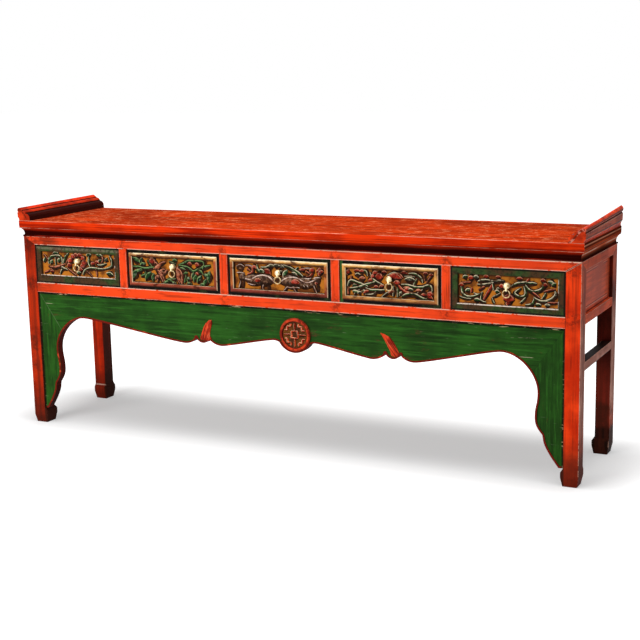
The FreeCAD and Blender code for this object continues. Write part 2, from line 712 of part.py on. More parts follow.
def apron_edges():
    """Whole outline of the apron: its shaped lower edge, and the straight edges at the rail and the legs."""
    inner, top = value("inner_x"), value("rail_underside")
    centre = value("pattern_shift")
    front = value("apron_front")
    foot = value("foot_height")

    def from_centre(offset, drop, sign):
        return Vector(centre + sign * value(offset), front, top - value(drop))

    def side(sign, reach):
        def beside(across, down):
            return Vector(sign * (inner - across), front, top - down)

        def bracket_point(shares):
            return beside(shares[0] * reach, shares[1] * (top - foot))

        tip_inner = Vector(sign * inner, front, foot)
        tip = Vector(sign * (inner - value("tip_width")), front, foot)
        throat = bracket_point(THROAT_SHARES)
        belly = bracket_point(BELLY_SHARES)
        notch = bracket_point(NOTCH_SHARES)
        notch_foot = bracket_point(NOTCH_FOOT_SHARES)
        crown = beside(value("arch_reach"), value("arch_drop"))
        run = notch_foot - tip
        pulls = [tip + Vector(across * run.x, 0, up * run.z) for across, up in TAIL_SHARES]
        step = belly - notch
        edges = [
            Part.LineSegment(tip_inner, tip).toShape(),
            curve([tip] + pulls + [notch_foot]),
            Part.LineSegment(notch_foot, notch).toShape(),
            curve([notch, notch + Vector(0.7 * step.x, 0, 0.35 * step.z),
                   belly - Vector(0, 0, 0.4 * step.z), belly]),
            swell(belly, throat, (True, True)),
            swell(throat, crown, (True, False)),
        ]
        outer_lobe = from_centre("outer_lobe_offset", "lobe_drop", sign)
        outer_cusp = from_centre("outer_cusp_offset", "cusp_drop", sign)
        leaf = from_centre("leaf_offset", "leaf_drop", sign)
        inner_cusp = from_centre("inner_cusp_offset", "cusp_drop", sign)
        inner_lobe = from_centre("inner_lobe_offset", "lobe_drop", sign)
        shoulder = from_centre("shoulder_offset", "shoulder_drop", sign)
        corner = from_centre("roundel_cusp_offset", "roundel_cusp_drop", sign)
        edges += [
            swell(crown, outer_lobe, pull_share=RISE_SHARE),
            swell(outer_lobe, outer_cusp, (False, True)),
            Part.Arc(outer_cusp, leaf, inner_cusp).toShape(),
            swell(inner_cusp, inner_lobe, (True, False)),
            swell(inner_lobe, shoulder, pull_share=RISE_SHARE),
            swell(shoulder, corner, (False, True)),
        ]
        return edges, corner

    right, right_corner = side(1, value("right_bracket_reach"))
    left, left_corner = side(-1, value("left_bracket_reach"))
    lobe = Vector(centre, front, top - value("roundel_lobe_drop"))
    middle = Part.Arc(right_corner, lobe, left_corner).toShape()
    top_edges = [
        Part.LineSegment(Vector(-inner, front, foot), Vector(-inner, front, top)).toShape(),
        Part.LineSegment(Vector(-inner, front, top), Vector(inner, front, top)).toShape(),
        Part.LineSegment(Vector(inner, front, top), Vector(inner, front, foot)).toShape(),
    ]
    return right + [middle] + left + top_edges


# The mitre runs inwards by this share of its fall, from the corner between leg and rail
MITRE_SHARE = 0.69
thickness = Vector(0, value("apron_thickness"), 0)
proud = Vector(0, -value("edge_bead_proud"), 0)
apron_face = Part.Face(Part.Wire(Part.__sortEdges__(apron_edges())))


# Points that a smooth edge is drawn through again, its ends among them
EDGE_POINTS = 10


def redrawn(edge):
    """The edge itself if it is straight, or else a smooth curve through points of it."""
    if isinstance(edge.Curve, Part.Line):
        return edge
    smooth = Part.BSplineCurve()
    smooth.interpolate(edge.discretize(EDGE_POINTS))
    return smooth.toShape()


def apron_bead():
    """Raised bead that follows the shaped edge and stops at the rail, the legs and the round boss."""
    width = value("edge_bead_width")
    inner, top, foot = value("inner_x"), value("rail_underside"), value("foot_height")
    behind = value("apron_front") - width
    inset = apron_face.makeOffset2D(-width).Wires[0].OrderedEdges
    inner_face = Part.Face(Part.Wire(Part.__sortEdges__([redrawn(edge) for edge in inset])))
    ring = apron_face.extrude(proud).cut(inner_face.extrude(proud))
    straight = Part.makeBox(2 * inner, 2 * width, width, Vector(-inner, behind, top - width))
    beside = [Part.makeBox(width, 2 * width, top - foot, Vector(x_place, behind, foot))
              for x_place in (-inner, inner - width)]
    boss = Part.makeCylinder(value("roundel_radius") + value("roundel_gap"), 2 * width,
                             Vector(value("roundel_x"), behind, top - value("roundel_drop")), Vector(0, 1, 0))
    return ring.cut([straight, boss] + beside)


whole_apron = apron_face.extrude(thickness).fuse(apron_bead())


def bracket_side(sign):
    """Prism on the bracket's side of the mitre."""
    inner, top = value("inner_x"), value("rail_underside")
    front = value("apron_front") + proud.y
    fall = top - value("foot_height") + value("overrun")
    corners = [Vector(sign * inner, front, top),
               Vector(sign * (inner - MITRE_SHARE * fall), front, top - fall),
               Vector(sign * inner, front, top - fall), Vector(sign * inner, front, top)]
    return Part.Face(Part.makePolygon(corners)).extrude(thickness - proud)


middle_board = whole_apron
for side_word, side_sign in SIDES:
    prism = bracket_side(side_sign)
    bracket = doc.addObject("Part::Feature", "apron_bracket_" + side_word)
    bracket.Shape = whole_apron.common(prism)
    piece("apron_bracket_" + side_word, bracket)
    middle_board = middle_board.cut(prism)
apron = doc.addObject("Part::Feature", "apron_front_board")
apron.Shape = middle_board
piece("apron_board", apron)

# Round boss on the apron: a rim around a sunk ground, turned about its own axis

roundel = new_body("roundel")
profile = sketch_on(roundel, "XY_Plane", "rail_underside - roundel_drop", ("roundel_x", "apron_front"))
face = "-roundel_thickness"
draw_outline(profile, [
    ("0", "0"), ("0", face + " + roundel_sink"), ("roundel_radius - roundel_rim", face + " + roundel_sink"),
    ("roundel_radius - 0.8 * roundel_rim", face + " + 0.25 * roundel_sink"),
    ("roundel_radius - 0.6 * roundel_rim", face),
    ("roundel_radius - 0.3 * roundel_rim", face),
    ("roundel_radius", face + " + 0.5 * roundel_sink"), ("roundel_radius", "0")][::-1])
turned = roundel.newObject("PartDesign::Revolution", "roundel_turned")
turned.Profile = profile
turned.ReferenceAxis = (profile, ["V_Axis"])
turned.Angle = 360
roundel.Tip = turned
piece("roundel", roundel)


# Drawers

def make_drawer_front(label, bay, has_bead):
    left, right = "bay_%d_left" % bay, "bay_%d_left + bay_%d_width" % (bay, bay)

    def inset(depth):
        reach = "drawer_reveal + %s" % depth
        return rectangle(("%s + %s" % (left, reach), "%s - (%s)" % (right, reach)),
                         ("opening_bottom + %s" % reach, "opening_top - (%s)" % reach))

    body = new_body(label)
    pad(body, "XZ_Plane", inset("0"), "drawer_face", "drawer_front_back")
    if has_bead:
        pocket(body, "XZ_Plane", [inset("-overrun"), inset("drawer_rim")],
               "drawer_face", "drawer_face + drawer_rim_sink")
        field = inset("drawer_rim + drawer_bead")
    else:
        field = inset("drawer_border")
    pocket(body, "XZ_Plane", [field], "drawer_face", "drawer_ground")
    return body


def cut_shank_hole(label, board, bay):
    shank = doc.addObject("Part::Cylinder", label + "_hole")
    shank.setExpression("Radius", sized("pull_shank_radius + pull_shank_gap"))
    shank.setExpression("Height", sized("drawer_front_thickness + 2 * overrun"))
    shank.Placement.Rotation = FreeCAD.Rotation(Vector(1, 0, 0), -90)
    shank.setExpression("Placement.Base.x", sized("bay_%d_left + bay_%d_width / 2" % (bay, bay)))
    shank.setExpression("Placement.Base.y", sized("drawer_face - overrun"))
    shank.setExpression("Placement.Base.z", sized("head_height"))
    cut = doc.addObject("Part::Cut", label)
    cut.Base = board
    cut.Tool = shank
    return cut


def make_drawer_box(label, bay):
    left = "bay_%d_left + drawer_side_gap" % bay
    right = "bay_%d_left + bay_%d_width - drawer_side_gap" % (bay, bay)
    length = ("drawer_front_back", "rail_inner_y - drawer_back_gap")
    height = ("drawer_floor", "opening_top - drawer_head_gap")
    wall = "drawer_side_thickness"
    floor = "drawer_floor + drawer_bottom_lift"
    inside = (left + " + " + wall, right + " - " + wall)
    return [
        block(label + "_left", (left, inside[0]), length, height),
        block(label + "_right", (inside[1], right), length, height),
        block(label + "_back", inside, (length[1] + " - " + wall, length[1]), height),
        block(label + "_floor", inside, (length[0], length[1] + " - " + wall),
              (floor, floor + " + drawer_bottom_thickness")),
    ]


def make_pull(label, bay):
    """Turned post with a domed head, and a lug under the head with the eye for the ring."""
    centre = "bay_%d_left + bay_%d_width / 2" % (bay, bay)
    body = new_body(label)
    profile = sketch_on(body, "XY_Plane", "head_height", (centre, "0"))
    head_back = "pull_tip + pull_head_thickness"
    draw_outline(profile, [
        ("0", "pull_tip"),
        ("0.45 * pull_head_radius", "pull_tip + 0.08 * pull_head_thickness", "0.8 * pull_head_radius"),
        ("pull_head_radius", "pull_tip + 0.62 * pull_head_thickness"),
        ("0.8 * pull_head_radius", head_back),
        ("pull_neck_radius", head_back),
        ("pull_neck_radius", "drawer_ground - pull_base_thickness"),
        ("pull_base_radius", "drawer_ground - pull_base_thickness"),
        ("pull_base_radius", "drawer_ground"),
        ("pull_shank_radius", "drawer_ground"),
        ("pull_shank_radius", "drawer_front_back + pull_shank_end"),
        ("0", "drawer_front_back + pull_shank_end"),
    ])
    turned = body.newObject("PartDesign::Revolution", label + "_turned")
    turned.Profile = profile
    turned.ReferenceAxis = (profile, ["V_Axis"])
    turned.Angle = 360
    body.Tip = turned
    reach = "(eye_radius + eye_wall)"
    low_x = "%s - eye_thickness / 2" % centre
    high_x = "%s + eye_thickness / 2" % centre
    lug = [("eye_y - %s" % reach, "head_height"), ("eye_y - %s" % reach, "eye_height", reach),
           ("eye_y + %s" % reach, "eye_height"), ("eye_y + %s" % reach, "head_height")]
    pad(body, "YZ_Plane", lug, low_x, high_x)
    doc.recompute()
    eye = sketch_on(body, "YZ_Plane", high_x)
    ring = eye.addGeometry(Part.Circle(Vector(value("eye_y"), value("eye_height"), 0), Vector(0, 0, 1),
                                       value("eye_radius")), False)
    for kind, formula in (("DistanceX", "eye_y"), ("DistanceY", "eye_height")):
        index = eye.addConstraint(Sketcher.Constraint(kind, ring, 3, number(formula)))
        eye.setExpression("Constraints[%d]" % index, sized(formula))
    index = eye.addConstraint(Sketcher.Constraint("Radius", ring, value("eye_radius")))
    eye.setExpression("Constraints[%d]" % index, sized("eye_radius"))
    hole = body.newObject("PartDesign::Pocket", label + "_eye")
    hole.Profile = eye
    hole.setExpression("Length", sized("eye_thickness"))
    body.Tip = hole
    return piece(label, body)


def make_ring(label, bay):
    ring = doc.addObject("Part::Torus", label)
    ring.setExpression("Radius1", sized("ring_radius"))
    ring.setExpression("Radius2", sized("ring_wire_radius"))
    ring.Placement.Rotation = FreeCAD.Rotation(Vector(1, 0, 0), 90)
    ring.setExpression("Placement.Base.x", sized("bay_%d_left + bay_%d_width / 2" % (bay, bay)))
    ring.setExpression("Placement.Base.y", sized("eye_y"))
    ring.setExpression("Placement.Base.z", sized("eye_height - ring_radius"))
    return piece(label, ring)


PLAIN_FRONTS = (1, BAYS)
for bay in range(1, BAYS + 1):
    name = "drawer_%d" % bay
    board = make_drawer_front(name + "_board", bay, bay not in PLAIN_FRONTS)
    piece(name + "_front", cut_shank_hole(name + "_front", board, bay))
    piece(name + "_box", grouped(name + "_box", make_drawer_box(name, bay)))
    make_pull(name + "_pull", bay)
    make_ring(name + "_ring", bay)

# Check every object, then write each sub-part to its own file

doc.recompute()
for thing in doc.Objects:
    if "Invalid" in thing.State or "Error" in thing.State:
        raise RuntimeError("%s did not build: %s" % (thing.Name, thing.State))
for thing in pieces:
    if thing.Shape.isNull() or not thing.Shape.isValid():
        raise RuntimeError(thing.Label + " has no valid shape")
os.makedirs("parts", exist_ok=True)
for thing in pieces:
    thing.Shape.exportStep("parts/%s.step" % thing.Label)
print("%d sub-parts, %.1f litres of wood and metal" % (
    len(pieces), sum(thing.Shape.Volume for thing in pieces) / 1e6))
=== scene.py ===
"""Looks for a lacquered altar table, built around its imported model."""
import math

import bmesh
import bpy
from mathutils import Matrix, Vector


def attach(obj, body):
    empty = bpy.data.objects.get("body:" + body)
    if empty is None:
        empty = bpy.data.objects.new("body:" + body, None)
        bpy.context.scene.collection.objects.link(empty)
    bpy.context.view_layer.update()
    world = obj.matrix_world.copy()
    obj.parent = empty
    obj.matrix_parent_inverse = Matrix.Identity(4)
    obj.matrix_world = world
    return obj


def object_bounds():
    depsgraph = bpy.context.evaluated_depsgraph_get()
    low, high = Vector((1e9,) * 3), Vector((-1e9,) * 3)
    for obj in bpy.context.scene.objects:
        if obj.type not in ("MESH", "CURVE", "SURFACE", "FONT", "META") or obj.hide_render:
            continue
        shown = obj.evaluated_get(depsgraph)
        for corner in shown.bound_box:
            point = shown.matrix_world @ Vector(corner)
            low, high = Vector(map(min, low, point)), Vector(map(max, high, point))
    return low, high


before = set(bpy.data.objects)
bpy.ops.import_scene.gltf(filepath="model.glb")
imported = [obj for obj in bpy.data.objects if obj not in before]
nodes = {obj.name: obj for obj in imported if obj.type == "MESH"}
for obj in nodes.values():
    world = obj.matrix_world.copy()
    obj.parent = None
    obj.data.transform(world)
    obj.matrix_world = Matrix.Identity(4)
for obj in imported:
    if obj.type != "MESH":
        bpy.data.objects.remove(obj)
cad_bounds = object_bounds()

# Shader maths


class Shade:
    """One output of a material's nodes: arithmetic on it adds the nodes that work it out."""

    def __init__(self, tree, socket):
        self.tree = tree
        self.socket = socket

    def node(self, kind, settings=None, inputs=None, output=0):
        """Any other node: its settings are set first, then the values or links of its sockets."""
        node = self.tree.nodes.new(kind)
        for name, setting in (settings or {}).items():
            setattr(node, name, setting)
        for name, value in (inputs or {}).items():
            if isinstance(value, Shade):
                self.tree.links.new(value.socket, node.inputs[name])
            else:
                node.inputs[name].default_value = value
        return Shade(self.tree, node.outputs[output])

    def math(self, operation, *values):
        """One sum, product or other operation on the values."""
        return self.node("ShaderNodeMath", {"operation": operation}, dict(enumerate(values)))

    def __add__(self, other):
        return self.math("ADD", self, other)

    def __radd__(self, other):
        return self.math("ADD", other, self)

    def __sub__(self, other):
        return self.math("SUBTRACT", self, other)

    def __rsub__(self, other):
        return self.math("SUBTRACT", other, self)

    def __mul__(self, other):
        return self.math("MULTIPLY", self, other)

    def __rmul__(self, other):
        return self.math("MULTIPLY", other, self)

    def __abs__(self):
        return self.math("ABSOLUTE", self)

    def least(self, other):
        """The lower of two values."""
        return self.math("MINIMUM", self, other)

    def most(self, other):
        """The higher of two values."""
        return self.math("MAXIMUM", self, other)

    def ramp(self, low, high):
        """0 below low, 1 above high and smooth between; high may lie below low."""
        limits = {"Value": self, "From Min": low, "From Max": high}
        return self.node("ShaderNodeMapRange", {"interpolation_type": "SMOOTHSTEP"}, limits)

    def axis(self, index):
        """One coordinate of a place: 0, 1 or 2 for X, Y or Z."""
        return self.node("ShaderNodeSeparateXYZ", None, {"Vector": self}, index)

    def stretched(self, scale, shift=(0, 0, 0)):
        """A place moved and scaled, before a pattern reads it."""
        return self.node("ShaderNodeMapping", None, {"Vector": self, "Location": shift, "Scale": scale})

    def noise(self, scale, detail=4, roughness=0.55):
        """Cloudy pattern around 0.5."""
        return self.node("ShaderNodeTexNoise", None, {
            "Vector": self, "Scale": scale, "Detail": detail, "Roughness": roughness})

    def blend(self, low, high):
        """Colour that goes from low to high as this mask goes from 0 to 1."""
        low, high = [colour if isinstance(colour, Shade) else (*colour, 1) for colour in (low, high)]
        return self.node("ShaderNodeMix", {"data_type": "RGBA"}, {0: self, 6: low, 7: high}, 2)


def new_material(name):
    """An empty material: its shader, and the place on the piece that patterns read."""
    material = bpy.data.materials.new(name)
    material.use_nodes = True
    tree = material.node_tree
    coordinates = tree.nodes.new("ShaderNodeTexCoord")
    return material, tree.nodes["Principled BSDF"], Shade(tree, coordinates.outputs["Object"])


SHEEN = 0.02


def finish_material(shader, colour, roughness, height=None, depth=None, sheen=SHEEN):
    """Join the worked-out colour, roughness and height to the shader."""
    tree = shader.id_data
    shader.inputs["Specular IOR Level"].default_value = sheen
    for name, value in (("Base Color", colour), ("Roughness", roughness)):
        if isinstance(value, Shade):
            tree.links.new(value.socket, shader.inputs[name])
        else:
            shader.inputs[name].default_value = value
    if height is not None:
        bump = height.node("ShaderNodeBump", None, {"Height": height, "Distance": depth, "Strength": 1.0})
        tree.links.new(bump.socket, shader.inputs["Normal"])


def dress(name, material):
    """Give a carried-over piece its finish."""
    for slot in nodes[name].material_slots:
        slot.material = material


def node_box(name):
    """Low and high corner of a carried-over piece."""
    places = [vertex.co for vertex in nodes[name].data.vertices]
    return [[pick(place[axis] for place in places) for axis in range(3)] for pick in (min, max)]


def box_middle(box, axis):
    """Halfway between a box's two corners along one axis."""
    return (box[0][axis] + box[1][axis]) / 2


# Measures and patterns that several finishes share

LONG, CROSS, UPRIGHT = 0, 1, 2
TOP_RAIL = node_box("front_top_rail")
HALF_LENGTH, OPENING_TOP, FRAME_HEIGHT = TOP_RAIL[1][0], TOP_RAIL[0][2], TOP_RAIL[1][2]
APRON_BOARD = node_box("apron_board")
INNER_X, APRON_TOP = APRON_BOARD[1][0], APRON_BOARD[1][2]
LEG_MIDDLE = (HALF_LENGTH + INNER_X) / 2
# Where the posts stand, and the heights where old dirt gathers at their ends
POSTS_X = [box_middle(node_box("drawer_post_%d" % number), 0) for number in range(1, 5)]
JOINTS_Z = (0.697, 0.540)


def edge_distance(place, box, skip=()):
    """How far a point is from its piece's nearest edge, or from the outline across one skipped axis."""
    near = []
    for axis in range(3):
        if axis in skip:
            continue
        here = place.axis(axis)
        near.append((here - box[0][axis]).least(box[1][axis] - here))
    if len(near) == 2:
        return near[0].least(near[1])
    first, second, third = near
    return first.least(second).most(first.most(second).least(third))


def round_distance(place, across, up):
    """How far a point is from a middle, seen from the front."""
    across = place.axis(0) - across
    up = place.axis(2) - up
    return place.math("SQRT", across * across + up * up)


def grain(place, axis, scale, stretch=0.05):
    """Fine streaks along one axis."""
    factors = [stretch if index == axis else 1 for index in range(3)]
    return place.stretched(factors).noise(scale, 4, 0.6)


def right_half(place):
    """1 on the right half of the table and 0 on the left."""
    return place.axis(0).ramp(-0.1, 0.1)


def mitre_distance(place):
    """How far a point is from the mitre between a leg and the top rails, seen from the front."""
    wide, high = HALF_LENGTH - INNER_X, FRAME_HEIGHT - OPENING_TOP
    across = abs(place.axis(0)) - INNER_X
    up = place.axis(2) - OPENING_TOP
    return abs(across * high - up * wide) * (1 / math.hypot(wide, high))


def joint_dirt(place):
    """Old dirt where the posts and legs meet the rails."""
    across = abs(abs(place.axis(0)) - LEG_MIDDLE) * 0.6
    for centre in POSTS_X:
        across = across.least(abs(place.axis(0) - centre))
    up = abs(place.axis(2) - JOINTS_Z[0]).least(abs(place.axis(2) - JOINTS_Z[1]))
    clouds = place.stretched((1, 1, 1), (0.9, 0.3, 0.2)).noise(70, 6, 0.75)
    return (across + up * 0.8).ramp(0.040, 0.008) * clouds.ramp(0.44, 0.58)


# Lacquer on the frame

VERMILION = (0.88, 0.065, 0.011)
DEEP_RED = (0.50, 0.024, 0.005)
WORN_RED = (0.72, 0.050, 0.010)
# Brown of age and dirt, also painted shade in the steps of the flanges' ends
AGED_BROWN_AND_SHADE = (0.050, 0.010, 0.005)
SIDE_BROWN = (0.56, 0.085, 0.030)
SIDE_DARK = (0.26, 0.034, 0.014)
# SIDE_PALE and SIDE_GREY paint a sheen low on the legs' outer sides
SIDE_PALE = (0.74, 0.40, 0.31)
SIDE_GREY = (0.42, 0.17, 0.12)
# INNER_BROWN is painted shade on the legs' inner sides
INNER_BROWN = (0.045, 0.016, 0.010)
# Painted shade, low on the legs' inner sides and under the carving's strokes
SHADE_BLACK = (0.014, 0.006, 0.004)
# Painted shade on the back right hoof
HOOF_BLACK = (0.006, 0.003, 0.002)
END_RED = (0.80, 0.110, 0.035)
END_DARK = (0.46, 0.060, 0.022)
# Pale of worn edges, also used for painted highlights on the mouldings
PALE_WEAR_AND_HIGHLIGHT = (0.74, 0.40, 0.28)
# Bright pale of painted highlights, and of rubbed wear on the rails' edges
BRIGHT_WEAR_AND_HIGHLIGHT = (0.86, 0.60, 0.46)

# Base and deep colour, and how far the dark patches have spread, on single pieces
FINISHES = {
    "leg_front_left": ((0.46, 0.026, 0.004), (0.16, 0.008, 0.002), 0.95),
    "leg_front_right": ((0.88, 0.054, 0.007), (0.52, 0.022, 0.003), 0.60),
    "leg_back_left": ((0.74, 0.036, 0.006), (0.40, 0.016, 0.004), 0.60),
    # Painted shade: the back right leg and the end stretchers are painted dark
    "leg_back_right": ((0.16, 0.016, 0.008), (0.04, 0.006, 0.004), 0.90),
    "end_stretcher_left": ((0.020, 0.007, 0.005), (0.006, 0.002, 0.002), 0.10),
    "end_stretcher_right": ((0.018, 0.008, 0.006), (0.006, 0.003, 0.002), 0.10),
}

# Painted highlights and rubbed wear along a rail's edges: height, where they start along the length, and
# strength
PALE_EDGE_LINES = {
    "front_bottom_rail": [(0.5466, -1.6, 0.75), (0.5118, -0.2, 0.35)],
    "front_top_rail": [(0.7194, 0.0, 0.95), (0.6906, -1.6, 0.45)],
}
# Height of the painted highlight along the top of the left back hoof
HOOF_TOP = 0.058


def side_paint_sheen_and_shade(place, colour, clouds, inner):
    """Browner outer side with a painted sheen low down; inner side painted nearly black as shade."""
    height = place.axis(2)
    patchy = clouds.ramp(0.38, 0.60)
    # rubbed marks the painted sheen, which grows towards the floor
    rubbed = (height + (clouds - 0.5) * 0.3).ramp(0.56, 0.46) * height.ramp(0.10, 0.22)
    brown = (rubbed * 0.8).blend(patchy.blend(SIDE_DARK, SIDE_BROWN), patchy.blend(SIDE_GREY, SIDE_PALE))
    outer = abs(place.axis(0)).ramp(HALF_LENGTH - 0.002, HALF_LENGTH - 0.0005)
    colour = (inner * 0.9).blend(outer.blend(colour, brown), INNER_BROWN)
    # Painted shade, blackest on the inner side near the floor
    return (inner * height.ramp(0.13, 0.07)).blend(colour, SHADE_BLACK)


def worn_edges(place, box, chips, axis):
    """Where edges have lost their lacquer; on a long rail, not across the ends of the posts."""
    worn = (edge_distance(place, box) + chips * 0.004).ramp(0.0038, 0.0026) * chips.ramp(0.36, 0.50)
    if axis == LONG:
        for centre in POSTS_X:
            worn = worn * abs(place.axis(0) - centre).ramp(0.0145, 0.0155)
    return worn


def red_lacquer(name, axis, age, base=VERMILION, deep=DEEP_RED, mitred=False, foot=False, side=False,
                pale_edges=0.7):
    """Orange-red lacquer: dark aged patches, streaks along the grain, pale worn edges, and painted sheen,
    highlight and shade.
    """
    material, shader, place = new_material(name + "_lacquer")
    base, deep, age = FINISHES.get(name, (base, deep, age))
    box = node_box(name)
    height = place.axis(2)
    clouds = place.noise(7, 5)
    patches = place.stretched((1, 1, 1), (box[0][0] * 3, 0.17, 0.53)).noise(6, 6, 0.62)
    streaks = grain(place, axis, 120)
    long_streaks = grain(place, axis, 45, 0.02)
    chips = place.stretched((1, 1, 1), (0.7, 0.1, 0.9)).noise(60, 3, 0.6)
    worn = worn_edges(place, box, chips, axis)
    colour = clouds.ramp(0.36, 0.60).blend(deep, base)
    # Sides: browner outer side with a painted sheen, and painted shade on the inner side
    if side:
        inner = abs(place.axis(0)).ramp(INNER_X + 0.0022, INNER_X + 0.0008)
        colour = side_paint_sheen_and_shade(place, colour, clouds, inner)
        worn = worn * (1 - inner)
    dark = patches.ramp(0.70 - 0.16 * age, 0.80 - 0.14 * age)
    if foot:
        dark = dark.most((height + patches * 0.25).ramp(0.32, 0.13)).most(height.ramp(0.034, 0.008))
    colour = (dark * 0.85).blend(colour, AGED_BROWN_AND_SHADE)
    # A painted highlight along the top of the left back hoof
    if name == "leg_back_left":
        front = place.axis(1).ramp(box[0][1] + 0.012, box[0][1] + 0.006)
        colour = (abs(height - HOOF_TOP).ramp(0.0035, 0.0010) * front * 0.6).blend(colour, BRIGHT_WEAR_AND_HIGHLIGHT)
    # The back right hoof is painted black as shade
    if name == "leg_back_right":
        colour = (height.ramp(0.105, 0.085) * 0.85).blend(colour, HOOF_BLACK)
    if axis != CROSS:
        colour = (joint_dirt(place) * 0.6).blend(colour, AGED_BROWN_AND_SHADE)
    colour = (streaks.ramp(0.52, 0.66) * 0.45).blend(colour, AGED_BROWN_AND_SHADE)
    colour = (long_streaks.ramp(0.50, 0.66) * (0.52 if foot else 0.24)).blend(colour, AGED_BROWN_AND_SHADE)
    if axis == LONG:
        start, share = (-0.78, 0.85) if "top" in name else (-0.80, 0.50)
        left = place.axis(0).ramp(start, -1.02) * clouds.ramp(0.36, 0.52)
        colour = (left * share).blend(colour, AGED_BROWN_AND_SHADE)
    if mitred:
        line = mitre_distance(place)
        on_right = right_half(place)
        worn = worn.most((line + chips * 0.002).ramp(0.0036, 0.0026) * on_right)
        colour = (worn * 0.75).blend(colour, PALE_WEAR_AND_HIGHLIGHT)
        colour = (line.ramp(0.0014, 0.0006) * (on_right * 0.65 + 0.35)).blend(colour, AGED_BROWN_AND_SHADE)
    else:
        colour = (worn * pale_edges).blend(colour, PALE_WEAR_AND_HIGHLIGHT)
    # Pale lines on the rail's edges: painted highlights, partly rubbed wear
    for level, start, share in PALE_EDGE_LINES.get(name, ()):
        rubbed = abs(height - level).ramp(0.0022, 0.0010) * place.axis(0).ramp(start, start + 0.5)
        colour = (rubbed * chips.ramp(0.34, 0.46) * share).blend(colour, BRIGHT_WEAR_AND_HIGHLIGHT)
    finish_material(shader, colour, 0.40 + 0.2 * patches, streaks, 0.0003)
    return material


# Dark lines of painted shade in grooves and steps
GROOVE_BLACK = (0.030, 0.010, 0.006)
GROOVE_BROWN = (0.060, 0.018, 0.010)
PANEL_VISIBLE = [[0, node_box("leg_front_left")[1][1], node_box("end_bottom_rail_left")[1][2]],
                 [0, node_box("leg_back_left")[0][1], OPENING_TOP]]
# Lines inside the panel's outline, painted shade and highlight: how far in, half width, colour and strength
PANEL_LINES = ((0.001, 0.003, GROOVE_BLACK, 0.9), (0.014, 0.0014, PALE_WEAR_AND_HIGHLIGHT, 0.45),
               (0.018, 0.0018, GROOVE_BROWN, 0.7))


def end_panel_lacquer(name):
    """Brown-red panel with lines of painted shade and of painted highlight a little inside its frame."""
    material, shader, place = new_material(name + "_lacquer")
    clouds = place.noise(7, 5)
    streaks = grain(place, CROSS, 120)
    colour = (streaks * 0.5 + clouds * 0.5).ramp(0.38, 0.62).blend(END_DARK, END_RED)
    edge = edge_distance(place, PANEL_VISIBLE, (0,))
    patchy = clouds.ramp(0.30, 0.44)
    for inset, half, line, share in PANEL_LINES:
        colour = (abs(edge - inset).ramp(half, half * 0.5) * patchy * share).blend(colour, line)
    finish_material(shader, colour, 0.42, streaks, 0.0003)
    return material


# Lacquer on the top, its flanges and the waist

TOP_ORANGE = (0.60, 0.046, 0.005)
TOP_BROWN = (0.22, 0.016, 0.004)
TOP_PALE = (0.76, 0.25, 0.11)
BAND_RED = (0.74, 0.038, 0.004)
BAND_DEEP = (0.34, 0.012, 0.002)
# Painted shade and highlight lines along the top's ends: height, half width, colour and strength
SIDE_LINES = ((0.7765, 0.0035, GROOVE_BLACK, 0.9), (0.7715, 0.0020, (0.70, 0.46, 0.30), 0.7),
              (0.7655, 0.0040, (0.045, 0.014, 0.008), 0.8), (0.7555, 0.0018, (0.62, 0.40, 0.26), 0.7))


def top_lacquer(name, axis):
    """Worn orange-brown lacquer with fine streaks and speckles where it has rubbed through."""
    material, shader, place = new_material(name + "_lacquer")
    box = node_box(name)
    height = place.axis(2)
    streaks = grain(place, axis, 28, 0.035)
    fine = grain(place, axis, 75, 0.03)
    thin = grain(place, LONG, 150, 0.02)
    clouds = place.noise(5, 5)
    speckle = place.stretched((0.16, 0.30, 1) if axis == LONG else (0.30, 0.16, 1)).noise(150, 5, 0.8)
    right = place.axis(0).ramp(0.20, 0.95)
    left = place.axis(0).ramp(-0.30, -0.85)
    upper = (clouds * 0.6 + fine * 0.4).ramp(0.30, 0.66).blend(TOP_BROWN, TOP_ORANGE)
    upper = (streaks.ramp(0.50, 0.60) * 0.75).blend(upper, TOP_BROWN)
    upper = (fine.ramp(0.52, 0.64) * 0.55).blend(upper, AGED_BROWN_AND_SHADE)
    upper = (speckle.ramp(0.44, 0.36) * 0.35).blend(upper, AGED_BROWN_AND_SHADE)
    pale = (speckle + left * 0.02).ramp(0.54, 0.61) * (clouds + (left + right) * 0.10).ramp(0.32, 0.60)
    upper = (pale * 0.55).blend(upper, TOP_PALE)
    band = (thin * 0.5 + clouds * 0.5).ramp(0.44, 0.60).blend(BAND_RED, BAND_DEEP)
    band = (height.ramp(0.768, 0.757) * thin.ramp(0.40, 0.56) * 0.45).blend(band, AGED_BROWN_AND_SHADE)
    band = (right * 0.22).blend(band, BAND_DEEP)
    colour = height.ramp(0.7785, 0.7796).blend(band, upper)
    if axis == CROSS:
        reach = max(-box[0][0], box[1][0])
        side = (streaks * 0.5 + clouds * 0.5).ramp(0.40, 0.60).blend(SIDE_DARK, SIDE_BROWN)
        # Painted shade and highlight lines for the mouldings on the end
        for level, half, line, share in SIDE_LINES:
            ridge = abs(height - level).ramp(half, half * 0.4) * clouds.ramp(0.26, 0.40)
            side = (ridge * share).blend(side, line)
        colour = abs(place.axis(0)).ramp(reach - 0.0012, reach - 0.0004).blend(colour, side)
    wide, deep, _ = cad_bounds[1]
    rim = [[-wide, -deep, box[0][2]], [wide, deep, box[1][2]]]
    worn = (edge_distance(place, rim) + speckle * 0.004).ramp(0.0040, 0.0028) * clouds.ramp(0.38, 0.55)
    colour = (worn * 0.6).blend(colour, PALE_WEAR_AND_HIGHLIGHT)
    finish_material(shader, colour, 0.38 + 0.25 * speckle, streaks + speckle * 0.5, 0.0004, 0)
    return material


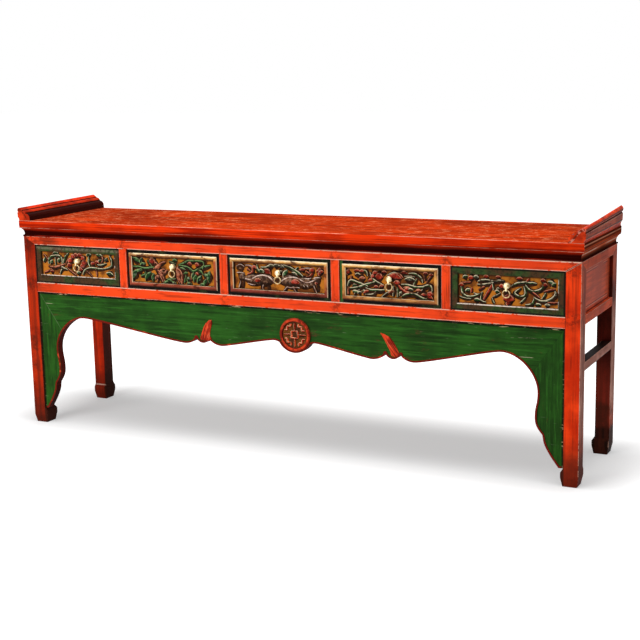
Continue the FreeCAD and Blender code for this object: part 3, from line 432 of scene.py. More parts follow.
# Height of a flange at its front end; it grows towards the back
FLANGE_HEIGHT = 0.047
# Bright and deep red of the roll, and red of its ends
FLANGE_REDS = {
    "flange_left": ((0.74, 0.036, 0.005), (0.36, 0.016, 0.003), (0.62, 0.046, 0.010)),
    "flange_right": ((0.90, 0.070, 0.012), DEEP_RED, VERMILION),
}
FLANGE_END_DARK = (0.34, 0.020, 0.005)
# Painted shade on the flange's inner face
INSIDE_BLACK = (0.018, 0.002, 0.001)
# Painted shade in the grooves of the roll and of the outer side
ROLL_GROOVE = (0.012, 0.002, 0.001)
SIDE_GROOVE = (0.030, 0.008, 0.005)
# Painted shade in the grooves between the mouldings of the roll, from the table's middle
ROLL_GROOVES = (1.0412, 1.0572)
# Painted shade in grooves and painted highlights on lips of the outer side, as shares of the flange's height
SIDE_GROOVE_SHARES = (0.80, 0.66, 0.28, 0.05)
SIDE_LIP_SHARES = (0.60, 0.21)


def flange_lacquer(name):
    """Red roll, painted shade lines between its mouldings, painted black-red shade inside, brown outer side.
    """
    material, shader, place = new_material(name + "_lacquer")
    (_, _, foot), (_, half_depth, peak) = node_box(name)
    bright, deep, end_red = FLANGE_REDS[name]
    streaks = grain(place, CROSS, 160)
    clouds = place.noise(12, 4)
    across = abs(place.axis(0))
    rise = peak - foot - FLANGE_HEIGHT
    grown = (place.axis(1) + half_depth) * (rise / half_depth / 2) + FLANGE_HEIGHT
    level = place.math("DIVIDE", place.axis(2) - foot, grown)
    colour = clouds.ramp(0.35, 0.62).blend(deep, bright)
    colour = (streaks.ramp(0.5, 0.7) * 0.6).blend(colour, AGED_BROWN_AND_SHADE)
    colour = (across.ramp(1.0590, 1.0570) * 0.35).blend(colour, AGED_BROWN_AND_SHADE)
    colour = (across.ramp(1.0425, 1.0405) * 0.97).blend(colour, INSIDE_BLACK)
    for groove in ROLL_GROOVES:
        colour = (abs(across - groove).ramp(0.0022, 0.0010) * 0.9).blend(colour, ROLL_GROOVE)
    side = (streaks * 0.5 + clouds * 0.5).ramp(0.40, 0.60).blend(SIDE_DARK, SIDE_BROWN)
    for groove in SIDE_GROOVE_SHARES:
        side = (abs(level - groove).ramp(0.050, 0.020) * 0.9).blend(side, SIDE_GROOVE)
    for lip in SIDE_LIP_SHARES:
        pale = abs(level - lip).ramp(0.035, 0.012) * clouds.ramp(0.40, 0.54)
        side = (pale * 0.5).blend(side, PALE_WEAR_AND_HIGHLIGHT)
    colour = (across.ramp(1.0742, 1.0752) * level.ramp(0.86, 0.82)).blend(colour, side)
    ends = abs(place.axis(1)).ramp(half_depth - 0.0008, half_depth - 0.0003)
    colour = ends.blend(colour, clouds.ramp(0.4, 0.6).blend(FLANGE_END_DARK, end_red))
    # Painted shade, and on the right flange painted highlights, along the steps of the ends' scroll
    flecks = place.noise(70, 3, 0.6)
    steps = ends * abs(level - across.ramp(1.023, 1.070) * 0.85).ramp(0.16, 0.04)
    colour = (steps * flecks.ramp(0.40, 0.50) * 0.7).blend(colour, AGED_BROWN_AND_SHADE)
    if name == "flange_right":
        colour = (steps * flecks.ramp(0.50, 0.42) * 0.28).blend(colour, BRIGHT_WEAR_AND_HIGHLIGHT)
    finish_material(shader, colour, 0.36, streaks, 0.0003, 0.008)
    return material


# COVE_BLACK is painted shade low in the front cove
COVE_BLACK = (0.022, 0.0015, 0.001)
COVE_RED = (0.42, 0.018, 0.003)
# Painted light: the end cove is painted brighter towards the top than its lacquer
COVE_END_DARK = (0.10, 0.024, 0.012)
COVE_END_RED = (0.80, 0.16, 0.07)
WAIST_BEAD_DARK = (0.040, 0.003, 0.002)
WAIST_BEAD_RED = (0.22, 0.012, 0.005)


def waist_lacquer(name, axis):
    """Cove that darkens from red under the top to maroon as painted shade, over a worn dark red bead."""
    material, shader, place = new_material(name + "_lacquer")
    height = place.axis(2)
    streaks = grain(place, axis, 90, 0.03)
    clouds = place.noise(6, 4)
    rise = height + (clouds - 0.5) * 0.010
    if axis == CROSS:
        colour = rise.ramp(0.7275, 0.7450).blend(COVE_END_DARK, COVE_END_RED)
        colour = (streaks.ramp(0.50, 0.62) * 0.6).blend(colour, AGED_BROWN_AND_SHADE)
        # A painted highlight line on the end cove
        line = abs(height - 0.7420).ramp(0.0024, 0.0010) * clouds.ramp(0.34, 0.46)
        colour = line.blend(colour, BRIGHT_WEAR_AND_HIGHLIGHT)
    else:
        # Painted shade, darkening the front cove towards the bottom
        colour = rise.ramp(0.738, 0.753).blend(COVE_BLACK, COVE_RED)
        colour = (streaks.ramp(0.55, 0.7) * 0.4).blend(colour, AGED_BROWN_AND_SHADE)
    bead = clouds.ramp(0.42, 0.60).blend(WAIST_BEAD_DARK, WAIST_BEAD_RED)
    colour = height.ramp(0.7265, 0.7255).blend(colour, bead)
    # A painted highlight along the lip above the rail
    lip = height.ramp(0.7224, 0.7212) * (streaks + place.axis(0) * 0.10).ramp(0.44, 0.54)
    colour = (lip * 0.75).blend(colour, PALE_WEAR_AND_HIGHLIGHT)
    finish_material(shader, colour, 0.42, streaks, 0.0003, 0)
    return material


# Green apron

# Where the flat face of the apron lies from front to back, between its bead and its thickness
APRON_FACE = -0.220
# How far the brackets' joint runs away from the leg, as a share of how far down it is
MITRE_SHARE = 0.69
APRON_GREEN = (0.020, 0.085, 0.010)
APRON_DARK = (0.013, 0.045, 0.007)
BRUSH_DARK = (0.007, 0.022, 0.004)
BRUSH_BRIGHT = (0.034, 0.150, 0.018)
RUBBED_BROWN = (0.085, 0.035, 0.016)
SCRATCH = (0.22, 0.28, 0.16)
SCRATCH_PALE = (0.48, 0.44, 0.28)
JOINT_BLACK = (0.008, 0.020, 0.005)
# Painted shade in the gaps along the apron's top and ends, flecked with tan
GAP_BLACK = (0.006, 0.005, 0.003)
FLECK_TAN = (0.46, 0.33, 0.18)
APRON_BEAD_RED = (0.15, 0.010, 0.005)
APRON_BEAD_ORANGE = (0.50, 0.055, 0.018)
THICKNESS_RED = (0.10, 0.010, 0.006)
THICKNESS_BLACK = (0.022, 0.004, 0.003)
# Scratches: height and place where each starts, where it ends, and its slope
SCRATCHES = ((0.470, 0.84, 0.965, 0.03), (0.410, 0.865, 0.912, 0.0), (0.468, -0.985, -0.945, 0.0))


def scratch_line(place, clouds, height, start, end, slope):
    """A thin, slightly wavy scratch across the apron."""
    across = place.axis(0)
    rise = place.axis(2) - height - (across - start) * slope + (clouds - 0.5) * 0.006
    ends = across.ramp(start - 0.005, start + 0.005) * across.ramp(end + 0.005, end - 0.005)
    return abs(rise).ramp(0.0014, 0.0005) * ends


def apron_lacquer(name):
    """Deep green with fine pale scratches and painted shade at its top and ends; its bead is red, its
    thickness dark red.
    """
    material, shader, place = new_material(name + "_lacquer")
    upright = "bracket" in name
    clouds = place.noise(8, 5)
    scratches = place.stretched((0.12, 1, 1), (0.3, 0, 0.4)).noise(170, 4, 0.65)
    rubs = place.stretched((1, 1, 0.3) if upright else (0.3, 1, 1)).noise(30, 5, 0.7)
    brushed = place.stretched((1, 1, 0.06) if upright else (0.05, 1, 1), (0.1, 0.2, 0.7)).noise(110, 4, 0.7)
    flecks = place.noise(55, 3, 0.6)
    on_right = right_half(place)
    colour = clouds.ramp(0.35, 0.65).blend(APRON_DARK, APRON_GREEN)
    colour = (brushed.ramp(0.50, 0.66) * 0.7).blend(colour, BRUSH_DARK)
    colour = (brushed.ramp(0.46, 0.34) * 0.50).blend(colour, BRUSH_BRIGHT)
    colour = (scratches.ramp(0.66, 0.78) * 0.5).blend(colour, SCRATCH)
    colour = (rubs.ramp(0.60, 0.70) * 0.55).blend(colour, RUBBED_BROWN)
    joint = abs((INNER_X - abs(place.axis(0))) - (APRON_TOP - place.axis(2)) * MITRE_SHARE)
    joint_share = joint.ramp(0.0018, 0.0008) * rubs.ramp(0.42, 0.54) * (on_right * 0.20 + 0.35)
    colour = joint_share.blend(colour, on_right.blend(SCRATCH, JOINT_BLACK))
    for line in SCRATCHES:
        share = scratch_line(place, clouds, *line) * rubs.ramp(0.40, 0.50) * 0.6
        colour = share.blend(colour, SCRATCH_PALE)
    # Painted shade along the top and ends, where the apron meets the rail and legs
    top = (place.axis(2) + (rubs - 0.5) * 0.008).ramp(APRON_TOP - 0.0100, APRON_TOP - 0.0065)
    ends = (abs(place.axis(0)) + (rubs - 0.5) * 0.010).ramp(INNER_X - 0.0080, INNER_X - 0.0040)
    pale_share = scratches.ramp(0.58, 0.66) * (1 - ends * (1 - on_right) * 0.85)
    gap = pale_share.blend(GAP_BLACK, FLECK_TAN)
    colour = (top.most(ends * 0.9) * 0.95).blend(colour, gap)
    depth = place.axis(1)
    bead = (flecks * 0.5 + clouds * 0.5).ramp(0.54, 0.63).blend(APRON_BEAD_RED, APRON_BEAD_ORANGE)
    colour = depth.ramp(APRON_FACE - 0.0003, APRON_FACE - 0.0010).blend(colour, bead)
    thickness = clouds.ramp(0.42, 0.60).blend(THICKNESS_BLACK, THICKNESS_RED)
    colour = depth.ramp(APRON_FACE + 0.0003, APRON_FACE + 0.0010).blend(colour, thickness)
    finish_material(shader, colour, 0.42 + 0.2 * clouds, scratches, 0.0003)
    return material


# Drawer fronts

DRAWERS = range(1, 6)
PLAIN_FRONTS = (1, 5)
# Where the ground behind the carving lies from front to back
GROUND = -0.217
# Widths of a plain border, of a black rim and of the moulding inside it
BORDER = 0.022
RIM = 0.010
BEAD_WIDTH = 0.0135
# Height of the dark round patch behind each ring
RING_MIDDLE = 0.609
# How much higher the field starts over a plain border's lower run
LOWER_BORDER = {1: 0.007, 5: 0}
OCHRE = (0.46, 0.150, 0.015)
OCHRE_DARK = (0.13, 0.036, 0.007)
# Painted shade on the ground under the field's upper and left edges
OCHRE_SHADE = (0.035, 0.008, 0.004)
RING_PATCH_BLACK = (0.020, 0.008, 0.005)
BORDER_GREEN = (0.030, 0.060, 0.016)
BORDER_BROWN = (0.065, 0.030, 0.014)
BORDER_TAN = (0.25, 0.20, 0.12)
BORDER_BUFF = (0.42, 0.34, 0.24)
# Painted highlight beside the field's lower and right edges
BORDER_CREAM = (0.78, 0.66, 0.56)
BORDER_BLACK = (0.016, 0.018, 0.008)
# Black of the sunk rim, and painted shade in the gap round a plain drawer front
RIM_BLACK = (0.006, 0.005, 0.004)
RIM_GREEN = (0.030, 0.045, 0.014)
RIM_END_GREEN = (0.030, 0.090, 0.020)
BACK_BROWN = (0.05, 0.02, 0.012)


def ochre_ground(place):
    """Old ochre paint, darker in patches."""
    clouds = place.noise(22, 5, 0.6)
    return clouds.ramp(0.40, 0.58).blend(OCHRE_DARK, OCHRE)


def flat_border(place, box, field, lower, clouds, fine):
    """Mottled brown-green border, painted highlights beside the field, painted shade along its outer edge.
    """
    across, up = place.axis(0), place.axis(2)
    left, right, bottom, top = field[0][0], field[1][0], field[0][2] + lower, field[1][2]
    limits = (0.44, 0.66) if lower else (0.40, 0.60)
    border = clouds.ramp(*limits).blend(BORDER_BROWN, BORDER_GREEN)
    border = (fine.ramp(0.62, 0.75) * 0.25).blend(border, BORDER_TAN)
    if lower:
        above = abs(up - top - 0.012).ramp(0.0080, 0.0010) * clouds.ramp(0.30, 0.60)
        border = (above * 0.25).blend(border, BORDER_BUFF)
    # Painted highlights where the field's lower and right walls catch the light
    level = across.ramp(left - 0.003, left) * across.ramp(right + 0.003, right)
    below = level * abs(up - bottom + 0.0012).ramp(0.0020, 0.0010)
    beside = abs(across - right - 0.001).ramp(0.0022, 0.0010) * up.ramp(top, top - 0.01)
    beside = beside * up.ramp(bottom - 0.002, bottom) * place.noise(60, 3).ramp(0.48, 0.58)
    pale = below.most(beside * 0.5) * clouds.ramp(0.30, 0.38)
    border = pale.blend(border, BORDER_CREAM)
    mottle = place.noise(80, 4, 0.7)
    border = (mottle.ramp(0.48, 0.60) * 0.7).blend(border, BORDER_BLACK)
    # Painted shade along the outer edge, in the gap round the drawer
    outer = (edge_distance(place, box, (1,)) + (mottle - 0.5) * 0.004).ramp(0.0060, 0.0030)
    return (outer * 0.9).blend(border, RIM_BLACK)


def sunk_rim(place, box, green_end, clouds):
    """Black rim round the gold moulding; green_end makes its left end green."""
    rim = clouds.ramp(0.60, 0.75).blend(RIM_BLACK, RIM_GREEN)
    if green_end:
        rim = place.axis(0).ramp(box[0][0] + 0.012, box[0][0] + 0.009).blend(rim, RIM_END_GREEN)
    return rim


def field_ground(place, box, field):
    """Ochre ground, painted shade under its upper and left edges and round the field, a dark patch behind
    the ring.
    """
    above = (field[1][2] - place.axis(2)).least(place.axis(0) - field[0][0])
    shade = above.ramp(0.0070, 0.0020).most(edge_distance(place, field, (1,)).ramp(0.0030, 0.0010) * 0.7)
    ground = (shade * 0.85).blend(ochre_ground(place), OCHRE_SHADE)
    away = round_distance(place, box_middle(box, 0), RING_MIDDLE)
    return (away.ramp(0.017, 0.011) * 0.92).blend(ground, RING_PATCH_BLACK)


def front_lacquer(number):
    """Flat border or sunk black rim, then the ochre field behind the carving."""
    name = "drawer_%d_front" % number
    material, shader, place = new_material(name + "_lacquer")
    box = node_box(name)
    clouds = place.noise(16, 5)
    fine = place.stretched((0.3, 1, 1)).noise(130, 4, 0.6)
    edge = BORDER if number in PLAIN_FRONTS else RIM + BEAD_WIDTH
    field = [[low + edge for low in box[0]], [high - edge for high in box[1]]]
    ground = field_ground(place, box, field)
    if number in PLAIN_FRONTS:
        lower = LOWER_BORDER[number]
        border = flat_border(place, box, field, lower, clouds, fine)
        if lower:
            bottom = field[0][2] + lower
            ground = place.axis(2).ramp(bottom + 0.0005, bottom - 0.0005).blend(ground, border)
    else:
        border = sunk_rim(place, box, number == 4, clouds)
    depth = place.axis(1)
    colour = depth.ramp(GROUND - 0.0012, GROUND - 0.0004).blend(border, ground)
    colour = depth.ramp(GROUND + 0.0006, GROUND + 0.0012).blend(colour, BACK_BROWN)
    finish_material(shader, colour, 0.45, fine, 0.0003)
    return material


# Paint on the carving and the gold mouldings

GOLD = (0.68, 0.34, 0.090)
# Cream of the painted highlights on the moulding
GOLD_PALE = (0.92, 0.74, 0.46)
GOLD_WORN = (0.16, 0.030, 0.014)
GOLD_SHADOW = (0.060, 0.014, 0.008)
# Heights between which the moulding's colour goes over to its lower and its upper run
LOWER_RUN = (0.590, 0.575)
UPPER_RUN = (0.660, 0.668)


def facing(place):
    """Which way the surface points, in the piece's own axes."""
    return Shade(place.tree, place.socket.node.outputs["Normal"])


def carved_paint(name, base, dark, pale, pale_share):
    """Paint on carving: darker in patches, painted highlight where it faces up and painted shade where it
    faces down.
    """
    material, shader, place = new_material(name)
    clouds = place.noise(45, 4)
    flecks = place.noise(150, 2, 0.6)
    mottle = place.noise(110, 3, 0.6)
    rise = facing(place).axis(2)
    colour = clouds.ramp(0.40, 0.58).blend(dark, base)
    colour = (mottle.ramp(0.54, 0.64) * pale_share * 0.45).blend(colour, pale)
    colour = (mottle.ramp(0.50, 0.42) * 0.85).blend(colour, dark)
    # Painted highlight on the parts that face up
    lit = (rise + (flecks - 0.5) * 0.9).ramp(0.30, 0.55) * clouds.ramp(0.36, 0.50)
    colour = (lit * pale_share).blend(colour, pale)
    # Painted shade on the parts that face down
    colour = (rise + (flecks - 0.5) * 0.5).ramp(-0.15, -0.50).blend(colour, SHADE_BLACK)
    finish_material(shader, colour, 0.42, clouds, 0.0003)
    return material


def gold_bead_paint(name, sides, below):
    """Gold moulding: cream painted highlight where its upper run faces up, its own colours on sides and
    below.
    """
    material, shader, place = new_material(name)
    clouds = place.noise(14, 5, 0.6)
    fine = place.noise(60, 4, 0.65)
    marks = place.stretched((0.5, 1, 1), (0.4, 0.2, 0.1)).noise(40, 4, 0.6)
    height = place.axis(2)
    lower = height.ramp(*LOWER_RUN)
    upper = height.ramp(*UPPER_RUN)
    normal = facing(place)
    rise = normal.axis(2)
    colour = upper.blend(lower.blend(sides, below), GOLD)
    colour = (clouds.ramp(0.58, 0.42) * 0.7).blend(colour, GOLD_WORN)
    # Painted highlight where the upper run faces up
    lit = (rise + (fine - 0.5) * 0.8 - lower * 0.35 - (1 - upper) * 0.15).ramp(0.15, 0.50)
    colour = (lit * clouds.ramp(0.30, 0.44)).blend(colour, GOLD_PALE)
    # Painted shadow where the moulding faces down
    under = (rise + (fine - 0.5) * 0.5).ramp(-0.05, -0.40)
    colour = (under * 0.85).blend(colour, GOLD_SHADOW)
    # Painted highlight where the moulding faces right
    beside = (normal.axis(0) + (fine - 0.5) * 0.5).ramp(0.30, 0.60)
    colour = (beside * 0.6).blend(colour, GOLD_PALE)
    colour = (marks.ramp(0.56, 0.64) * 0.85).blend(colour, AGED_BROWN_AND_SHADE)
    finish_material(shader, colour, 0.36)
    return material


def carving_shadow_paint():
    """Painted shadow: a dark underlay round and below the carving."""
    material, shader, place = new_material("old_dirt")
    colour = place.noise(60, 4).ramp(0.35, 0.65).blend((0.012, 0.006, 0.004), (0.045, 0.016, 0.007))
    finish_material(shader, colour, 0.6)
    return material


def edge_paint(name, pale):
    """Painted highlight line: pale in places and brown between them."""
    material, shader, place = new_material(name)
    flecks = place.noise(55, 3, 0.6)
    colour = flecks.ramp(0.36, 0.50).blend((0.11, 0.055, 0.028), pale)
    finish_material(shader, colour, 0.45)
    return material


# Hidden wood, brass and the roundel


def plain_wood():
    """Bare wood with grain along its boards."""
    material, shader, place = new_material("bare_wood")
    rings = place.stretched((0.06, 0.06, 1)).noise(60, 5)
    colour = rings.ramp(0.35, 0.65).blend((0.18, 0.090, 0.040), (0.30, 0.165, 0.080))
    finish_material(shader, colour, 0.7, rings, 0.0003)
    return material


def aged_brass(name, dull, bright):
    """Rubbed brass, bright where fingers polish it."""
    material, shader, place = new_material(name)
    clouds = place.noise(160, 4)
    colour = clouds.ramp(0.35, 0.60).blend(dull, bright)
    shader.inputs["Metallic"].default_value = 0.55
    finish_material(shader, colour, 0.34 + 0.2 * clouds)
    return material


ROUNDEL = node_box("roundel")
ROUNDEL_MIDDLE = (box_middle(ROUNDEL, 0), box_middle(ROUNDEL, 2))
ROUNDEL_GROUND = -0.2240
RIM_RED = (0.58, 0.055, 0.016)
RIM_DARK_RED = (0.20, 0.014, 0.007)
# Painted shade lines in the roundel's rim: radius, half width, inner width, colour and strength
RIM_GROOVES = ((0.0465, 0.0022, 0.0008, (0.020, 0.004, 0.003), 0.85),
               (0.0565, 0.0020, 0.0006, (0.080, 0.008, 0.005), 0.6))


def roundel_paint():
    """Red rim with painted shade lines, around a dark ochre ground."""
    material, shader, place = new_material("roundel_paint")
    clouds = place.noise(25, 4)
    fine = place.noise(90, 4, 0.6)
    away = round_distance(place, *ROUNDEL_MIDDLE)
    red = (clouds * 0.5 + fine * 0.5).ramp(0.42, 0.58).blend(RIM_DARK_RED, RIM_RED)
    for radius, half, inner, groove, share in RIM_GROOVES:
        red = (abs(away - radius).ramp(half, inner) * share).blend(red, groove)
    rim = place.axis(1).ramp(ROUNDEL_GROUND - 0.0003, ROUNDEL_GROUND - 0.0010)
    colour = rim.blend(ochre_ground(place), red)
    colour = (rim.ramp(0.5, 0.4) * 0.70).blend(colour, (0.030, 0.014, 0.007))
    finish_material(shader, colour, 0.42, clouds, 0.0004)
    return material


# Finishes on the carried-over pieces


def lacquer_for(name):
    """The lacquer of one piece of the frame, top or apron, or None where another finish covers it."""
    if name.startswith("leg_"):
        return red_lacquer(name, UPRIGHT, 0.7, mitred=True, foot=True, side=True)
    if name.startswith("drawer_post"):
        return red_lacquer(name, UPRIGHT, 0.35, deep=WORN_RED, pale_edges=0.45)
    if name.startswith(("front_", "back_")) and name.endswith("rail"):
        return red_lacquer(name, LONG, 0.35, deep=WORN_RED, mitred="top" in name)
    if name.startswith("end_board"):
        return top_lacquer(name, CROSS)
    if name.startswith("end_panel"):
        return end_panel_lacquer(name)
    if name.startswith("end_"):
        return red_lacquer(name, CROSS, 0.4, END_RED, END_DARK, side="stretcher" in name)
    if name.startswith("top_plank"):
        return top_lacquer(name, LONG)
    if name.startswith("flange"):
        return flange_lacquer(name)
    if name.startswith("waist"):
        return waist_lacquer(name, LONG if name.endswith(("front", "back")) else CROSS)
    if name.startswith("apron"):
        return apron_lacquer(name)
    return None


for name in nodes:
    lacquer = lacquer_for(name)
    if lacquer:
        dress(name, lacquer)

wood = plain_wood()
for name in ("back_panel", "drawer_runners", "drawer_guides", "top_battens"):
    dress(name, wood)
rubbed_brass = aged_brass("rubbed_brass", (0.44, 0.30, 0.12), (0.84, 0.72, 0.46))
dull_brass = aged_brass("dull_brass", (0.22, 0.12, 0.040), (0.66, 0.50, 0.26))
for number in DRAWERS:
    dress("drawer_%d_front" % number, front_lacquer(number))
    dress("drawer_%d_box" % number, wood)
    dress("drawer_%d_pull" % number, rubbed_brass)
    dress("drawer_%d_ring" % number, dull_brass)
dress("roundel", roundel_paint())

# Carving

GREEN, RED, BROWN, GREY, CREAM, HIDE = "green", "red", "brown", "grey", "cream", "hide"
# Base paint, darker patches, pale for flecks and painted highlights, and how much of that pale shows
CARVING_PAINTS = {
    GREEN: ((0.024, 0.085, 0.018), (0.008, 0.024, 0.009), (0.50, 0.52, 0.38), 0.45),
    RED: ((0.36, 0.028, 0.011), (0.11, 0.009, 0.005), (0.60, 0.30, 0.24), 0.45),
    BROWN: ((0.30, 0.072, 0.032), (0.08, 0.018, 0.010), (0.62, 0.34, 0.22), 0.7),
    GREY: ((0.085, 0.085, 0.045), (0.022, 0.022, 0.014), (0.62, 0.56, 0.42), 0.7),
    CREAM: ((0.60, 0.42, 0.32), (0.26, 0.12, 0.08), (0.85, 0.72, 0.62), 0.9),
    HIDE: ((0.16, 0.075, 0.040), (0.035, 0.016, 0.010), (0.50, 0.36, 0.27), 0.6),
}
paints = {paint: carved_paint(paint + "_carving", *tones) for paint, tones in CARVING_PAINTS.items()}
old_dirt = carving_shadow_paint()
# Paints of the painted highlight lines along the strokes
highlight_edge = edge_paint("highlight_edge", (0.68, 0.58, 0.38))
green_highlight_edge = edge_paint("green_highlight_edge", (0.20, 0.32, 0.11))
red_highlight_edge = edge_paint("red_highlight_edge", (0.62, 0.24, 0.13))


def mesh_from(form, name):
    """Turn a finished form into a mesh."""
    mesh = bpy.data.meshes.new(name)
    form.to_mesh(mesh)
    form.free()
    return mesh


def new_piece(name, mesh, body, material):
    """Put a finished mesh into the scene, riding on a body."""
    piece = bpy.data.objects.new(name, mesh)
    mesh.materials.append(material)
    bpy.context.scene.collection.objects.link(piece)
    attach(piece, body)


# Strokes are (paint, width, points) and petals (paint, across, up, length, width, turn), all in
# millimetres: across from the middle of the drawer, up from the floor.

